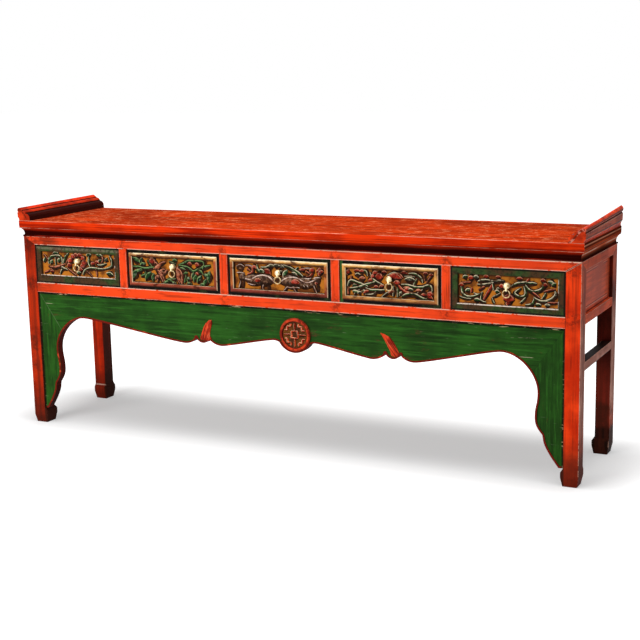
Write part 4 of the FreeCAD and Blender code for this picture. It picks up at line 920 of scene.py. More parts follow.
STROKES = {
    1: [
        (BROWN, 9, [(-138, 612), (-120, 605), (-100, 608), (-80, 614), (-60, 621)]),
        (GREEN, 9, [(-135, 620), (-134, 636), (-122, 648), (-108, 650), (-84, 652), (-72, 640),
                    (-72, 620)]),
        (GREEN, 7, [(-102, 610), (-102, 628), (-103, 645)]),
        (GREEN, 8, [(-66, 625), (-62, 640), (-52, 655), (-40, 664)]),
        (BROWN, 8, [(-56, 622), (-48, 634), (-36, 645)]),
        (GREEN, 8, [(-84, 582), (-78, 600), (-62, 606), (-50, 600)]),
        (BROWN, 7, [(-55, 610), (-30, 592), (-10, 582)]),
        (GREEN, 8, [(20, 585), (25, 600), (40, 608), (60, 612), (75, 612), (100, 608), (120, 612)]),
        (GREEN, 8, [(115, 611), (150, 618), (153, 635), (148, 650), (140, 660)]),
        (BROWN, 7, [(75, 610), (85, 600), (82, 582)]),
        (GREEN, 8, [(55, 612), (50, 625), (48, 640), (50, 658)]),
        (BROWN, 7, [(97, 660), (112, 655), (110, 640), (104, 632)]),
        (RED, 8, [(-158, 585), (-140, 590), (-120, 602)]),
        (BROWN, 7, [(35, 600), (50, 592), (62, 580)]),
        (GREEN, 7, [(84, 626), (96, 622), (112, 626), (128, 632)]),
        (BROWN, 7, [(-158, 655), (-146, 648), (-140, 636)]),
    ],
    2: [
        (GREEN, 9, [(-174, 626), (-150, 628), (-130, 622), (-110, 622), (-95, 626), (-80, 628)]),
        (GREEN, 7, [(-110, 655), (-100, 640), (-88, 628)]),
        (GREEN, 8, [(-118, 615), (-116, 604), (-124, 597), (-140, 594)]),
        (GREEN, 7, [(-88, 608), (-89, 592), (-86, 577)]),
        (BROWN, 11, [(-82, 622), (-62, 638), (-32, 652)]),
        (BROWN, 12, [(-76, 628), (-60, 612), (-46, 596), (-40, 580)]),
        (BROWN, 9, [(8, 632), (22, 626), (34, 612), (38, 596), (34, 574)]),
        (BROWN, 8, [(-45, 600), (-34, 612), (-26, 622)]),
        (BROWN, 8, [(20, 606), (16, 590), (24, 575)]),
        (GREY, 6, [(-22, 592), (-6, 586), (10, 592)]),
        (BROWN, 8, [(-55, 618), (-45, 623), (-35, 622)]),
        (BROWN, 8, [(-75, 600), (-62, 585), (-70, 575)]),
        (BROWN, 8, [(-60, 600), (-50, 585), (-45, 575)]),
        (GREY, 7, [(-18, 652), (-3, 650), (12, 643)]),
        (GREEN, 8, [(25, 643), (45, 648), (60, 658), (90, 659), (125, 658), (131, 650), (126, 638)]),
        (GREEN, 9, [(20, 640), (50, 638), (70, 630), (78, 622), (88, 620), (100, 628), (120, 636),
                    (140, 642), (156, 646)]),
        (GREEN, 7, [(55, 612), (50, 595), (45, 578)]),
        (BROWN, 7, [(78, 615), (76, 602), (72, 590)]),
        (GREEN, 7, [(-30, 590), (-15, 583), (2, 577)]),
    ],
    3: [
        (HIDE, 9, [(-150, 604), (-154, 588), (-155, 573)]),
        (HIDE, 9, [(-138, 600), (-141, 586), (-143, 573)]),
        (HIDE, 10, [(-64, 596), (-68, 584), (-64, 572)]),
        (HIDE, 10, [(-40, 598), (-44, 584), (-36, 572)]),
        (HIDE, 10, [(34, 596), (27, 582), (18, 570)]),
        (HIDE, 10, [(52, 594), (59, 580), (68, 570)]),
        (HIDE, 9, [(130, 598), (136, 585), (143, 571)]),
        (HIDE, 9, [(146, 604), (151, 592), (148, 577)]),
        (CREAM, 5, [(-132, 607), (-118, 603), (-104, 608), (-86, 618), (-66, 623), (-46, 621),
                    (-28, 612), (-16, 598)]),
        (CREAM, 5, [(4, 600), (18, 612), (36, 620), (56, 622), (76, 617), (94, 609), (112, 605),
                    (128, 610), (140, 618)]),
        (CREAM, 4, [(-158, 573), (-154, 586), (-150, 596)]),
        (CREAM, 4, [(-62, 573), (-66, 582), (-60, 590)]),
        (CREAM, 4, [(16, 571), (26, 582), (34, 590)]),
        (CREAM, 4, [(66, 571), (58, 580), (54, 590)]),
        (CREAM, 4, [(144, 573), (137, 586), (133, 596)]),
        (CREAM, 4, [(-122, 592), (-108, 586), (-92, 588)]),
        (CREAM, 4, [(30, 588), (44, 584), (62, 588), (80, 586)]),
        (CREAM, 3, [(-72, 612), (-64, 605), (-60, 596)]),
        (CREAM, 3, [(-56, 614), (-48, 606), (-46, 596)]),
        (CREAM, 3, [(86, 606), (94, 598), (98, 590)]),
        (CREAM, 3, [(104, 602), (110, 595), (112, 588)]),
        (CREAM, 4, [(-166, 648), (-156, 656), (-142, 656), (-134, 648)]),
        (CREAM, 4, [(-164, 627), (-148, 629), (-134, 626)]),
        (RED, 7, [(-122, 652), (-106, 650), (-100, 638), (-108, 626), (-124, 624)]),
        (RED, 7, [(-126, 640), (-116, 642), (-112, 634)]),
        (RED, 7, [(106, 652), (122, 650), (128, 638), (118, 626), (104, 626)]),
        (RED, 7, [(102, 642), (112, 644), (116, 636)]),
        (CREAM, 4, [(-130, 654), (-112, 657), (-98, 650)]),
        (CREAM, 4, [(92, 652), (108, 658), (126, 654)]),
        (CREAM, 4, [(98, 620), (110, 617), (124, 622)]),
        (GREEN, 9, [(-84, 659), (-86, 644), (-74, 632), (-58, 632)]),
        (GREEN, 8, [(-70, 650), (-50, 648), (-38, 656), (-22, 660)]),
        (GREEN, 10, [(18, 661), (40, 655), (60, 645), (80, 635), (92, 625)]),
        (GREEN, 8, [(76, 657), (68, 651), (62, 644)]),
        (HIDE, 7, [(-166, 640), (-156, 648), (-144, 648)]),
        (HIDE, 7, [(128, 612), (140, 622), (158, 619)]),
        (CREAM, 4, [(132, 620), (144, 627), (158, 624)]),
        (RED, 8, [(-104, 646), (-94, 650), (-84, 642)]),
        (RED, 8, [(78, 646), (88, 654), (98, 648)]),
    ],
    4: [
        (BROWN, 7, [(-140, 640), (-140, 630), (-140, 620)]),
        (GREEN, 7, [(-95, 659), (-82, 655), (-80, 645)]),
        (GREEN, 9, [(-152, 602), (-150, 618), (-138, 624), (-120, 617), (-100, 612), (-80, 605)]),
        (GREEN, 9, [(-145, 596), (-120, 598), (-100, 606), (-80, 613), (-60, 618), (-50, 625)]),
        (GREEN, 9, [(-88, 600), (-70, 592), (-50, 595), (-30, 593), (-20, 598)]),
        (GREEN, 8, [(-104, 655), (-92, 660), (-82, 652), (-80, 640)]),
        (GREEN, 7, [(-110, 592), (-122, 586), (-130, 576)]),
        (BROWN, 8, [(-150, 600), (-152, 588), (-153, 574)]),
        (GREY, 8, [(12, 612), (14, 596), (10, 578)]),
        (GREEN, 8, [(26, 610), (29, 594), (26, 576)]),
        (GREY, 7, [(-30, 572), (-18, 584), (-4, 592)]),
        (GREY, 7, [(-90, 578), (-70, 577), (-55, 583), (-48, 592)]),
        (GREEN, 8, [(-70, 655), (-70, 640), (-60, 628), (-40, 618), (-22, 612)]),
        (GREY, 8, [(-10, 645), (5, 654), (25, 655), (40, 648)]),
        (RED, 9, [(24, 622), (34, 610), (46, 598), (62, 592), (80, 592)]),
        (GREEN, 8, [(65, 655), (85, 658), (100, 650), (112, 640), (115, 628)]),
        (GREY, 7, [(50, 645), (70, 647), (88, 645)]),
        (GREEN, 7, [(95, 640), (88, 628), (82, 618)]),
        (GREEN, 9, [(40, 618), (60, 619), (80, 613), (100, 611), (120, 614), (135, 622), (147, 615),
                    (148, 600)]),
        (GREEN, 9, [(40, 577), (55, 588), (75, 589), (90, 588), (105, 580), (115, 576), (130, 575)]),
        (GREY, 7, [(95, 590), (105, 600), (115, 605)]),
        (BROWN, 6, [(120, 652), (121, 645), (122, 635)]),
        (BROWN, 6, [(142, 652), (135, 640), (128, 630)]),
        (RED, 7, [(-153, 590), (-152, 584), (-150, 577)]),
        (BROWN, 7, [(-128, 645), (-120, 643), (-113, 641)]),
    ],
    5: [
        (GREY, 9, [(-98, 642), (-92, 645), (-80, 648), (-62, 648), (-45, 645), (-25, 650), (-8, 648)]),
        (GREY, 8, [(-100, 633), (-80, 633), (-60, 637), (-45, 642)]),
        (RED, 12, [(-50, 635), (-62, 612), (-78, 585)]),
        (RED, 9, [(-75, 628), (-84, 622), (-95, 615)]),
        (GREEN, 8, [(-150, 610), (-148, 600), (-135, 592), (-115, 592), (-95, 600), (-80, 610)]),
        (GREEN, 7, [(-160, 592), (-140, 583), (-120, 586)]),
        (GREEN, 8, [(-158, 630), (-150, 622), (-150, 605), (-140, 593)]),
        (RED, 8, [(-158, 635), (-140, 637), (-120, 640)]),
        (RED, 8, [(-118, 622), (-119, 613), (-120, 605)]),
        (GREY, 7, [(-112, 605), (-104, 602), (-95, 600)]),
        (GREEN, 8, [(-48, 640), (-46, 628), (-44, 618)]),
        (GREY, 8, [(-22, 610), (-35, 600), (-48, 596)]),
        (GREEN, 8, [(-50, 595), (-48, 583), (-42, 575)]),
        (GREEN, 8, [(-84, 605), (-88, 590), (-85, 578), (-70, 577)]),
        (GREEN, 9, [(12, 632), (25, 642), (45, 645), (60, 648), (72, 645), (85, 648), (96, 645)]),
        (RED, 10, [(60, 648), (66, 655), (70, 660)]),
        (GREEN, 9, [(58, 640), (65, 628), (80, 620), (95, 622), (110, 628), (118, 640), (118, 652)]),
        (GREEN, 9, [(45, 630), (28, 617), (22, 610), (40, 600), (58, 604), (62, 620), (52, 635)]),
        (GREEN, 8, [(60, 600), (52, 590), (42, 582)]),
        (GREEN, 8, [(58, 577), (75, 577), (85, 585), (88, 600)]),
        (RED, 9, [(75, 622), (90, 613), (105, 602)]),
        (GREY, 9, [(85, 602), (100, 592), (118, 590), (135, 595), (150, 605), (158, 618), (152, 625)]),
        (GREEN, 9, [(112, 598), (120, 607), (125, 618)]),
        (RED, 8, [(118, 622), (136, 628), (155, 632)]),
        (RED, 8, [(130, 588), (148, 588), (163, 590)]),
    ],
}
PETALS = {
    1: [
        (RED, -38, 616, 22, 17, 30), (RED, -32, 634, 25, 18, 60), (RED, -22, 649, 24, 18, -40),
        (RED, -7, 655, 22, 16, 0), (RED, 9, 655, 22, 16, 20), (RED, 21, 644, 22, 18, -50),
        (RED, 30, 628, 27, 19, 80), (RED, 22, 615, 24, 18, 20), (RED, 10, 603, 22, 16, 0),
        (GREEN, -99, 659, 28, 12, 0), (GREEN, 50, 659, 24, 12, 10), (GREEN, 97, 659, 30, 12, -5),
        (GREEN, 100, 640, 18, 10, 30), (GREY, -72, 605, 16, 10, 0), (GREEN, 140, 592, 34, 13, -10),
        (RED, 68, 628, 18, 14, 40), (RED, 85, 633, 17, 13, -20), (RED, 145, 665, 16, 8, 0),
        (GREEN, -120, 625, 22, 11, 60), (GREEN, -86, 634, 20, 10, 70), (GREEN, -152, 632, 20, 9, 80),
        (GREEN, 128, 645, 20, 10, 60), (GREEN, 2, 590, 22, 10, 10), (RED, -120, 590, 18, 11, 0),
    ],
    2: [
        (GREEN, -155, 650, 38, 15, -30), (GREEN, -133, 650, 26, 13, 80), (GREEN, -163, 597, 42, 17, 70),
        (GREEN, -142, 612, 28, 13, 30), (GREEN, -128, 636, 26, 12, 20), (GREEN, 112, 620, 24, 12, -40),
        (GREEN, 84, 606, 26, 12, 80), (GREEN, 118, 574, 24, 11, 20),
        (GREEN, -106, 594, 42, 16, 55), (GREEN, -84, 592, 30, 11, 85), (RED, -88, 648, 26, 22, 0),
        (BROWN, -64, 626, 30, 14, 40), (BROWN, -50, 610, 26, 13, -40), (BROWN, -68, 592, 22, 12, 60),
        (BROWN, 26, 603, 66, 17, 104), (GREY, 38, 627, 28, 8, -10), (GREEN, 8, 655, 22, 13, 0),
        (RED, 70, 646, 17, 16, 0), (RED, 100, 644, 18, 17, 0), (RED, 98, 612, 13, 12, 0),
        (GREEN, 52, 612, 20, 9, 20), (GREEN, 63, 592, 20, 11, 80), (GREEN, 93, 598, 34, 12, 65),
        (GREEN, 109, 594, 36, 13, 60), (GREEN, 136, 606, 34, 12, -25), (GREEN, 150, 605, 44, 13, 88),
        (GREEN, 134, 585, 30, 13, 70), (GREEN, 128, 638, 20, 10, 70), (GREEN, -150, 612, 20, 9, 20),
        (GREEN, 66, 576, 24, 9, 0), (GREEN, -30, 575, 26, 10, 10), (GREEN, -18, 582, 18, 12, 0),
        (BROWN, -86, 655, 26, 10, -30), (BROWN, -76, 642, 24, 9, -20), (GREY, 2, 574, 20, 9, 0),
    ],
    3: [
        (HIDE, -96, 600, 92, 30, -6), (HIDE, -54, 603, 84, 32, 4), (HIDE, -144, 612, 30, 22, 35),
        (HIDE, -152, 622, 16, 9, 60), (RED, -82, 601, 30, 17, 8), (HIDE, 40, 604, 84, 34, 4),
        (HIDE, 96, 600, 88, 30, -4), (HIDE, 142, 612, 30, 22, -35), (HIDE, 150, 622, 16, 9, -60),
        (RED, 62, 602, 46, 20, 0), (RED, -96, 649, 20, 12, 0), (GREEN, -68, 636, 24, 12, 0),
        (RED, -44, 634, 30, 18, -35), (GREY, -30, 655, 26, 12, 10), (GREY, -8, 657, 26, 12, 0),
        (GREY, 10, 655, 24, 12, -8), (GREEN, 26, 632, 32, 14, 60), (RED, 128, 648, 22, 14, 50),
        (RED, 92, 648, 20, 12, 20), (RED, 156, 652, 15, 11, 90), (RED, 156, 638, 15, 11, 90),
        (RED, 149, 645, 15, 11, 0), (RED, 163, 645, 15, 11, 0), (HIDE, -148, 640, 22, 13, 0),
        (GREY, 5, 635, 22, 11, 30), (RED, -146, 614, 12, 9, 0), (RED, 144, 606, 14, 10, 90),
        (GREY, 60, 632, 26, 10, -25), (CREAM, -76, 604, 8, 4, 20), (CREAM, -86, 598, 8, 4, -20),
        (CREAM, 56, 604, 9, 4, 20), (CREAM, 70, 599, 9, 4, -20), (CREAM, 156, 645, 7, 6, 0),
    ],
    4: [
        (RED, -150, 650, 22, 12, 80), (RED, -118, 655, 26, 10, 0), (RED, -38, 638, 28, 24, 0),
        (RED, -52, 651, 20, 14, 40), (RED, -60, 640, 18, 12, 80), (RED, -70, 625, 22, 10, 30),
        (RED, -50, 604, 18, 10, 0), (RED, -30, 608, 18, 10, 20), (GREY, -95, 588, 16, 9, 0),
        (GREY, -110, 582, 16, 9, 20), (RED, 18, 640, 48, 22, -6), (RED, 25, 622, 24, 16, 0),
        (RED, 50, 656, 26, 11, 0), (GREY, 70, 635, 38, 13, 0), (RED, 125, 658, 17, 10, 0),
        (RED, 145, 654, 17, 9, 0), (RED, 120, 587, 22, 11, 0), (RED, 140, 590, 22, 18, 0),
        (BROWN, -100, 630, 26, 11, 10), (BROWN, 100, 600, 22, 10, 0), (RED, 60, 602, 20, 12, 30),
        (GREEN, -125, 584, 24, 10, -10), (GREEN, -128, 606, 18, 9, 10), (GREEN, 72, 602, 20, 9, 0),
        (RED, -20, 655, 18, 10, 0), (BROWN, 5, 590, 24, 10, 20), (RED, 30, 646, 36, 14, -20),
        (RED, -100, 655, 20, 10, 10), (GREY, -116, 643, 20, 9, 0), (RED, 140, 580, 24, 12, -30),
        (RED, -86, 586, 24, 9, 30), (BROWN, 60, 606, 30, 9, 0), (GREY, 38, 588, 16, 8, 60),
    ],
    5: [
        (RED, -70, 659, 18, 12, 0), (RED, -152, 628, 18, 12, 0), (RED, -120, 652, 20, 15, 0),
        (GREY, -103, 655, 18, 15, 0), (GREEN, -33, 613, 15, 11, 0), (GREY, -30, 622, 14, 8, 20),
        (RED, -18, 630, 18, 15, 0), (RED, 5, 590, 38, 28, 0), (RED, 5, 579, 20, 14, 90),
        (RED, 115, 656, 18, 11, 0), (RED, 122, 642, 16, 13, 0), (GREY, 130, 579, 18, 9, 0),
        (GREEN, -130, 612, 22, 10, 20), (GREEN, -100, 582, 24, 10, 0), (GREEN, 140, 650, 24, 11, -20),
        (GREEN, 150, 645, 18, 10, 40), (RED, 40, 658, 22, 10, 0), (GREEN, -140, 655, 20, 10, 20),
        (GREEN, 100, 578, 22, 9, 0), (RED, -30, 660, 18, 8, 0),
    ],
}
# Height of the relief, the painted shadow underlay and animals' bodies, as shares of their strokes' half
# width
RELIEF_SHARE = 0.70
SHADOW_SHARE = 0.16
HIDE_SHARE = 0.28
# How much wider or narrower than drawn the strokes of each drawer are
STROKE_SHARE = {1: 1.0, 2: 1.1, 3: 1.15, 4: 1.0, 5: 0.95}
# How far the cream strokes are lifted off the others, in millimetres before the relief is flattened
CREAM_LIFT = 4.5
# Relief that would stand higher than this is pressed nearly flat there
HIGHEST = 0.0050
FLAT_SHARE = 0.15
# Thickness at a stroke's ends, a leaf's ends and a leaf's inner points, as shares of its width
STROKE_END, LEAF_END, LEAF_INNER = 0.5, 0.12, 1.25
# How far a leaf bends to one side, as a share of its half length
BEND_SHARE = 0.16
# A painted highlight line along a stroke: its place, lift and width as shares of the stroke's, and its
# widest
EDGE_PLACE = 0.70
EDGE_LIFT = 0.72
EDGE_WIDTH = 0.30
WIDEST_EDGE = 2.6
# Highlight lines lie on the side of each stroke that points up and a little to the left
LIT_SIDE = Vector((-0.35, 1))
# How much wider than the strokes the painted shadow on each drawer is, and how far it lies beside and under
# them
SHADOW_GROWTH = {1: 9, 2: 13, 3: 9, 4: 13, 5: 9}
SHADOW_SHIFT = (0.6, -1.8)


def leaf_line(across, up, length, turn):
    """A leaf or petal as a short, slightly bent stroke that is fat in its middle."""
    along = Vector((math.cos(math.radians(turn)), math.sin(math.radians(turn)))) * length / 2
    bend = Vector((-along.y, along.x)) * BEND_SHARE
    middle = Vector((across, up))
    return [middle - along, middle - along * 0.45 + bend, middle + along * 0.45 + bend, middle + along]


def end_share(index, count, leaf):
    """How thick a stroke or leaf is at one of its points, as a share of its width."""
    if index in (0, count - 1):
        return LEAF_END if leaf else STROKE_END
    return LEAF_INNER if leaf else 1


def lay_stroke(curve, points, radius, leaf, lift):
    """Add one smooth stroke, thinner at its ends, to a curve."""
    spline = curve.splines.new("NURBS")
    spline.points.add(len(points) - 1)
    for index, (across, up) in enumerate(points):
        spline.points[index].co = (across, -lift, up, 1)
        spline.points[index].radius = radius * end_share(index, len(points), leaf)
    spline.order_u = 3
    spline.use_endpoint_u = True


def upper_edge(points, width, leaf):
    """A thin line along the upper side of a stroke, as a painted highlight."""
    moved = []
    for index, point in enumerate(points):
        before, after = points[max(index - 1, 0)], points[min(index + 1, len(points) - 1)]
        along = (Vector(after) - Vector(before)).normalized()
        aside = Vector((-along.y, along.x))
        if aside.dot(LIT_SIDE) < 0:
            aside = -aside
        moved.append(Vector(point) + aside * width * EDGE_PLACE / 2 * end_share(index, len(points), leaf))
    return moved, min(width * EDGE_WIDTH, WIDEST_EDGE), leaf, width * EDGE_LIFT / 2


def relief(name, body, lines, centre, flatness, paint, growth=0, shift=(0, 0)):
    """Rounded relief over lines in millimetres: each has its width, whether it is a leaf, and its lift."""
    curve = bpy.data.curves.new(name, "CURVE")
    curve.dimensions = "3D"
    curve.bevel_depth = 1
    curve.bevel_resolution = 2
    curve.resolution_u = 5
    curve.use_fill_caps = True
    for points, width, leaf, lift in lines:
        lay_stroke(curve, points, (width + growth) / 2, leaf, lift)
    drawn = bpy.data.objects.new(name, curve)
    bpy.context.scene.collection.objects.link(drawn)
    mesh = bpy.data.meshes.new_from_object(drawn.evaluated_get(bpy.context.evaluated_depsgraph_get()))
    bpy.data.objects.remove(drawn)
    mesh.materials.clear()
    form = bmesh.new()
    form.from_mesh(mesh)
    bmesh.ops.scale(form, verts=form.verts[:], vec=(0.001, 0.001 * flatness, 0.001))
    high = [vert for vert in form.verts if vert.co.y < -HIGHEST]
    bmesh.ops.scale(form, verts=high, vec=(1, FLAT_SHARE, 1), space=Matrix.Translation((0, HIGHEST, 0)))
    place = Vector(centre) + Vector((shift[0] / 1000, 0, shift[1] / 1000))
    bmesh.ops.translate(form, verts=form.verts[:], vec=place)
    bmesh.ops.recalc_face_normals(form, faces=form.faces[:])
    form.to_mesh(mesh)
    form.free()
    mesh.shade_smooth()
    new_piece(name, mesh, body, paint)


def carve_drawer(number):
    """Vines and leaves in relief, one piece per paint, with painted highlight lines and a painted shadow
    round them.
    """
    body = "drawer_%d" % number
    centre = (box_middle(node_box(body + "_front"), 0), GROUND, 0)
    lines = {paint: [] for paint in paints}
    for kind, width, points in STROKES[number]:
        lines[kind].append((points, width * STROKE_SHARE[number], False, CREAM_LIFT if kind == CREAM else 0))
    for kind, across, up, length, width, turn in PETALS[number]:
        leaf = leaf_line(across, up, length, turn)
        lines[kind].append((leaf, width, True, CREAM_LIFT if kind == CREAM else 0))
    for paint, drawn in lines.items():
        if drawn:
            name = "%s_%s_carving" % (body, paint)
            relief(name, body, drawn, centre, HIDE_SHARE if paint == HIDE else RELIEF_SHARE, paints[paint])
    # Painted highlight lines along the strokes
    green_finish = green_highlight_edge if number == 2 else highlight_edge
    for name, kinds, finish in (("_highlight_edges", (GREEN, GREY), green_finish),
                                ("_red_highlight_edges", (RED, BROWN), red_highlight_edge)):
        edges = [upper_edge(*line[:3]) for kind in kinds for line in lines[kind]]
        relief(body + name, body, edges, centre, RELIEF_SHARE, finish)
    # A painted shadow underlay round and below every stroke
    every = [(*line[:3], 0) for drawn in lines.values() for line in drawn]
    relief(body + "_dirt", body, every, centre, SHADOW_SHARE, old_dirt, SHADOW_GROWTH[number], SHADOW_SHIFT)


BEAD_HEIGHT = 0.0045
BEAD_SUNK = 0.0005
# Steps across the moulding: how wide and how high each is, as shares of its width and height
BEAD_STEPS = [(0.04, 0.45), (0.14, 0.35), (0.22, 0.20), (0.20, 0), (0.22, -0.20), (0.14, -0.35),
              (0.04, -0.45)]
# Colours of the moulding on its sides and below
BEAD_TONES = {
    2: ((0.42, 0.080, 0.028), (0.30, 0.060, 0.032)),
    3: ((0.50, 0.150, 0.036), (0.22, 0.040, 0.028)),
    4: (GOLD, (0.46, 0.20, 0.055)),
}


def add_bead(number, paint):
    """Rounded gold moulding between the black rim and the field, mitred at its corners."""
    low, high = node_box("drawer_%d_front" % number)
    left, right, bottom, top = low[0] + RIM, high[0] - RIM, low[2] + RIM, high[2] - RIM
    corners = ((left, bottom), (right, bottom), (right, top), (left, top))
    form = bmesh.new()
    face = form.faces.new([form.verts.new((across, low[1] + BEAD_SUNK, up)) for across, up in corners])
    form.normal_update()
    for wide_share, high_share in BEAD_STEPS:
        bmesh.ops.inset_region(form, faces=[face], thickness=BEAD_WIDTH * wide_share,
                               depth=BEAD_HEIGHT * high_share, use_boundary=True, use_even_offset=True)
    bmesh.ops.delete(form, geom=[face], context="FACES")
    name = "drawer_%d_bead" % number
    new_piece(name, mesh_from(form, name), "drawer_%d" % number, paint)


for number in DRAWERS:
    carve_drawer(number)
for number, tones in BEAD_TONES.items():
    add_bead(number, gold_bead_paint("gold_bead_%d" % number, *tones))

# Leaves on the apron and the fret in the roundel

# Outlines in millimetres: across from the table's middle, up from the floor
LEAVES = [
    [(-259, 452), (-268, 451), (-281, 440), (-292, 423), (-299, 405), (-305, 390), (-307, 380), (-296, 375),
     (-282, 377), (-270, 374), (-262, 382), (-267, 396), (-266, 410), (-261, 426), (-256, 441)],
    [(391, 453), (402, 437), (412, 420), (420, 405), (427, 392), (430, 378), (440, 375), (450, 376),
     (458, 385), (456, 392), (450, 405), (440, 422), (425, 440), (406, 449)],
]
LEAF_LEANS = (0.34, -0.70)
# How far a leaf reaches into the apron, how thick it is, and how wide and high its sloping edges are
LEAF_SUNK = 0.002
LEAF_THICKNESS = 0.0045
LEAF_SLOPE_WIDTH = 0.0035
LEAF_SLOPE_HEIGHT = 0.0020
LEAF_RED = (0.66, 0.055, 0.016)
LEAF_DEEP = (0.34, 0.020, 0.008)
# Painted shade in the leaf's grooves and painted highlight on its ridges
LEAF_GROOVE = (0.070, 0.006, 0.004)
LEAF_RIDGE = (0.80, 0.22, 0.10)


def leaf_paint(name, lean):
    """Red with painted shade in dark grooves and painted highlight on bright ridges along the leaf's lean.
    """
    material, shader, place = new_material(name + "_red")
    strand = {"X": place.axis(0) - place.axis(2) * lean, "Z": place.axis(2) * 0.06}
    strands = place.node("ShaderNodeCombineXYZ", None, strand).noise(230, 2, 0.5)
    clouds = place.noise(30, 3)
    colour = clouds.ramp(0.38, 0.60).blend(LEAF_DEEP, LEAF_RED)
    colour = (strands.ramp(0.48, 0.60) * 0.85).blend(colour, LEAF_GROOVE)
    colour = (strands.ramp(0.42, 0.32) * 0.6).blend(colour, LEAF_RIDGE)
    finish_material(shader, colour, 0.42, strands, 0.0006)
    return material


def apron_leaf(name, outline, lean):
    """A thin red leaf with sloping edges round its flat face."""
    form = bmesh.new()
    back = APRON_FACE + LEAF_SUNK
    face = form.faces.new([form.verts.new((across / 1000, back, up / 1000)) for across, up in outline])
    rims = bmesh.ops.extrude_face_region(form, geom=[face])
    raised = [item for item in rims["geom"] if isinstance(item, bmesh.types.BMVert)]
    bmesh.ops.translate(form, verts=raised, vec=(0, -LEAF_THICKNESS, 0))
    top = [item for item in rims["geom"] if isinstance(item, bmesh.types.BMFace)]
    bmesh.ops.inset_region(form, faces=top, thickness=LEAF_SLOPE_WIDTH, depth=LEAF_SLOPE_HEIGHT)
    bmesh.ops.recalc_face_normals(form, faces=form.faces[:])
    new_piece(name, mesh_from(form, name), "table", leaf_paint(name, lean))


for side, outline, lean in zip(("left", "right"), LEAVES, LEAF_LEANS):
    apron_leaf("apron_leaf_" + side, outline, lean)

# One quarter of the fret, in millimetres from the roundel's middle
FRET_LINES = [[(0, 12), (12, 12), (12, 0)], [(0, 12), (0, 42)], [(12, 0), (42, 0)],
              [(15, 38), (15, 28), (28, 28), (28, 15), (38, 15)]]
FRET_WIDTH = 10.0
FRET_SHARE = 0.8
# Width and height of the painted shadow underlay round the fret
FRET_SHADOW_GROWTH = 2.5
FRET_SHADOW_SHARE = 0.12


def roundel_fret():
    """A plain lattice in raised strokes: a square with four arms, and square steps between the arms."""
    centre = (ROUNDEL_MIDDLE[0], ROUNDEL_GROUND, ROUNDEL_MIDDLE[1])
    lines = []
    for side, end in ((1, 1), (-1, 1), (1, -1), (-1, -1)):
        for line in FRET_LINES:
            corners = [Vector((across * side, up * end)) for across, up in line]
            for first, last in zip(corners, corners[1:]):
                lines.append(([first, first.lerp(last, 0.5), last], FRET_WIDTH, False, 0))
    # Painted highlight lines along the fret's strokes, and a painted shadow underlay round them
    edges = [upper_edge(*line[:3]) for line in lines]
    relief("roundel_fret", "table", lines, centre, FRET_SHARE, fret_red)
    relief("roundel_fret_edges", "table", edges, centre, FRET_SHARE, fret_edge)
    relief("roundel_fret_dirt", "table", lines, centre, FRET_SHADOW_SHARE, old_dirt, FRET_SHADOW_GROWTH)


fret_red = carved_paint("fret_red", (0.76, 0.100, 0.025), (0.36, 0.026, 0.009), (0.80, 0.36, 0.20), 0.4)
fret_edge = edge_paint("fret_highlight_edge", (0.82, 0.40, 0.24))
roundel_fret()

# Stage

FLOOR_REACH = 30
FLOOR_COLOUR = (0.54, 0.54, 0.54, 1)
# Floor glow under the table, dimmer as painted shadow, and how strongly the surroundings light it
FLOOR_GLOW = 0.36
WORLD_LIGHT = 0.32
# Place, target, size and power of each lamp
LAMPS = {
    "overhead_lamp": ((0.2, -0.5, 3.2), (0, 0, 0.4), (3.0, 1.6), 98),
    "front_lamp": ((-1.8, -4.6, 1.5), (0, 0, 0.5), (2.6, 1.8), 152),
}
CAMERA_PLACE = (2.0811, -4.0706, 1.3206)
CAMERA_YAW = math.radians(26.4123)
CAMERA_PITCH = math.radians(11.0535)
CAMERA_ROLL = math.radians(-1.2165)
CAMERA_LENS = 72.848
SENSOR_WIDTH = 36


def seen_by_camera(source):
    """1 where the camera looks, directly, in a reflection or through something clear."""
    seen = source.node("ShaderNodeLightPath")
    path = seen.socket.node
    for name in ("Is Glossy Ray", "Is Transmission Ray"):
        seen = seen.most(Shade(source.tree, path.outputs[name]))
    return seen


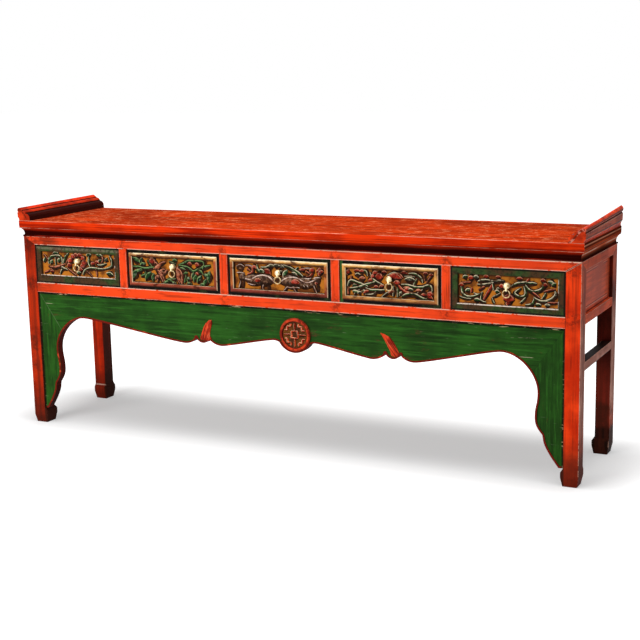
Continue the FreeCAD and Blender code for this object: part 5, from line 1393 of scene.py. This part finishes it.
def make_floor():
    """A wide pale floor that glows to the camera, less under the table as painted shadow."""
    form = bmesh.new()
    bmesh.ops.create_grid(form, x_segments=1, y_segments=1, size=FLOOR_REACH)
    mesh = mesh_from(form, "floor")
    floor = bpy.data.objects.new("floor", mesh)
    bpy.context.scene.collection.objects.link(floor)
    material, shader, place = new_material("pale_floor")
    shader.inputs["Base Color"].default_value = FLOOR_COLOUR
    shader.inputs["Roughness"].default_value = 1
    shader.inputs["Specular IOR Level"].default_value = 0
    # Painted shadow: the glow dims in a band under the table
    under = abs(place.axis(1)).ramp(0.62, 0.16) * abs(place.axis(0)).ramp(1.50, 1.00)
    strength = seen_by_camera(place) * (1 - under * (1 - FLOOR_GLOW))
    glow = place.node("ShaderNodeEmission", None, {"Strength": strength})
    both = place.node("ShaderNodeAddShader", None, {1: glow})
    tree = material.node_tree
    tree.links.new(shader.outputs[0], both.socket.node.inputs[0])
    tree.links.new(both.socket, tree.nodes["Material Output"].inputs["Surface"])
    mesh.materials.append(material)


def make_world():
    """White surroundings: bright to the camera, and dimmer as a light on the table."""
    world = bpy.data.worlds.new("pale_surroundings")
    bpy.context.scene.world = world
    world.use_nodes = True
    tree = world.node_tree
    background = tree.nodes["Background"]
    background.inputs["Color"].default_value = (1, 1, 1, 1)
    seen = seen_by_camera(Shade(tree, background.outputs[0]))
    strength = seen * (1 - WORLD_LIGHT) + WORLD_LIGHT
    tree.links.new(strength.socket, background.inputs["Strength"])


def add_lamp(name, place, target, size, power):
    """A rectangular lamp that shines from a place towards a target."""
    data = bpy.data.lights.new(name, "AREA")
    data.shape = "RECTANGLE"
    data.size, data.size_y = size
    data.energy = power
    lamp = bpy.data.objects.new(name, data)
    lamp.location = place
    lamp.rotation_euler = (Vector(target) - Vector(place)).to_track_quat("-Z", "Y").to_euler()
    bpy.context.scene.collection.objects.link(lamp)


def make_camera():
    """The camera that was fitted to the photo."""
    data = bpy.data.cameras.new("camera")
    data.lens = CAMERA_LENS
    data.sensor_width = SENSOR_WIDTH
    camera = bpy.data.objects.new("camera", data)
    turn = Matrix.Rotation(CAMERA_YAW, 4, "Z") @ Matrix.Rotation(math.pi / 2 - CAMERA_PITCH, 4, "X")
    camera.matrix_world = Matrix.Translation(CAMERA_PLACE) @ turn @ Matrix.Rotation(CAMERA_ROLL, 4, "Z")
    bpy.context.scene.collection.objects.link(camera)
    bpy.context.scene.camera = camera


make_floor()
make_world()
for name, setting in LAMPS.items():
    add_lamp(name, *setting)
make_camera()
bpy.context.scene.view_settings.view_transform = "Standard"
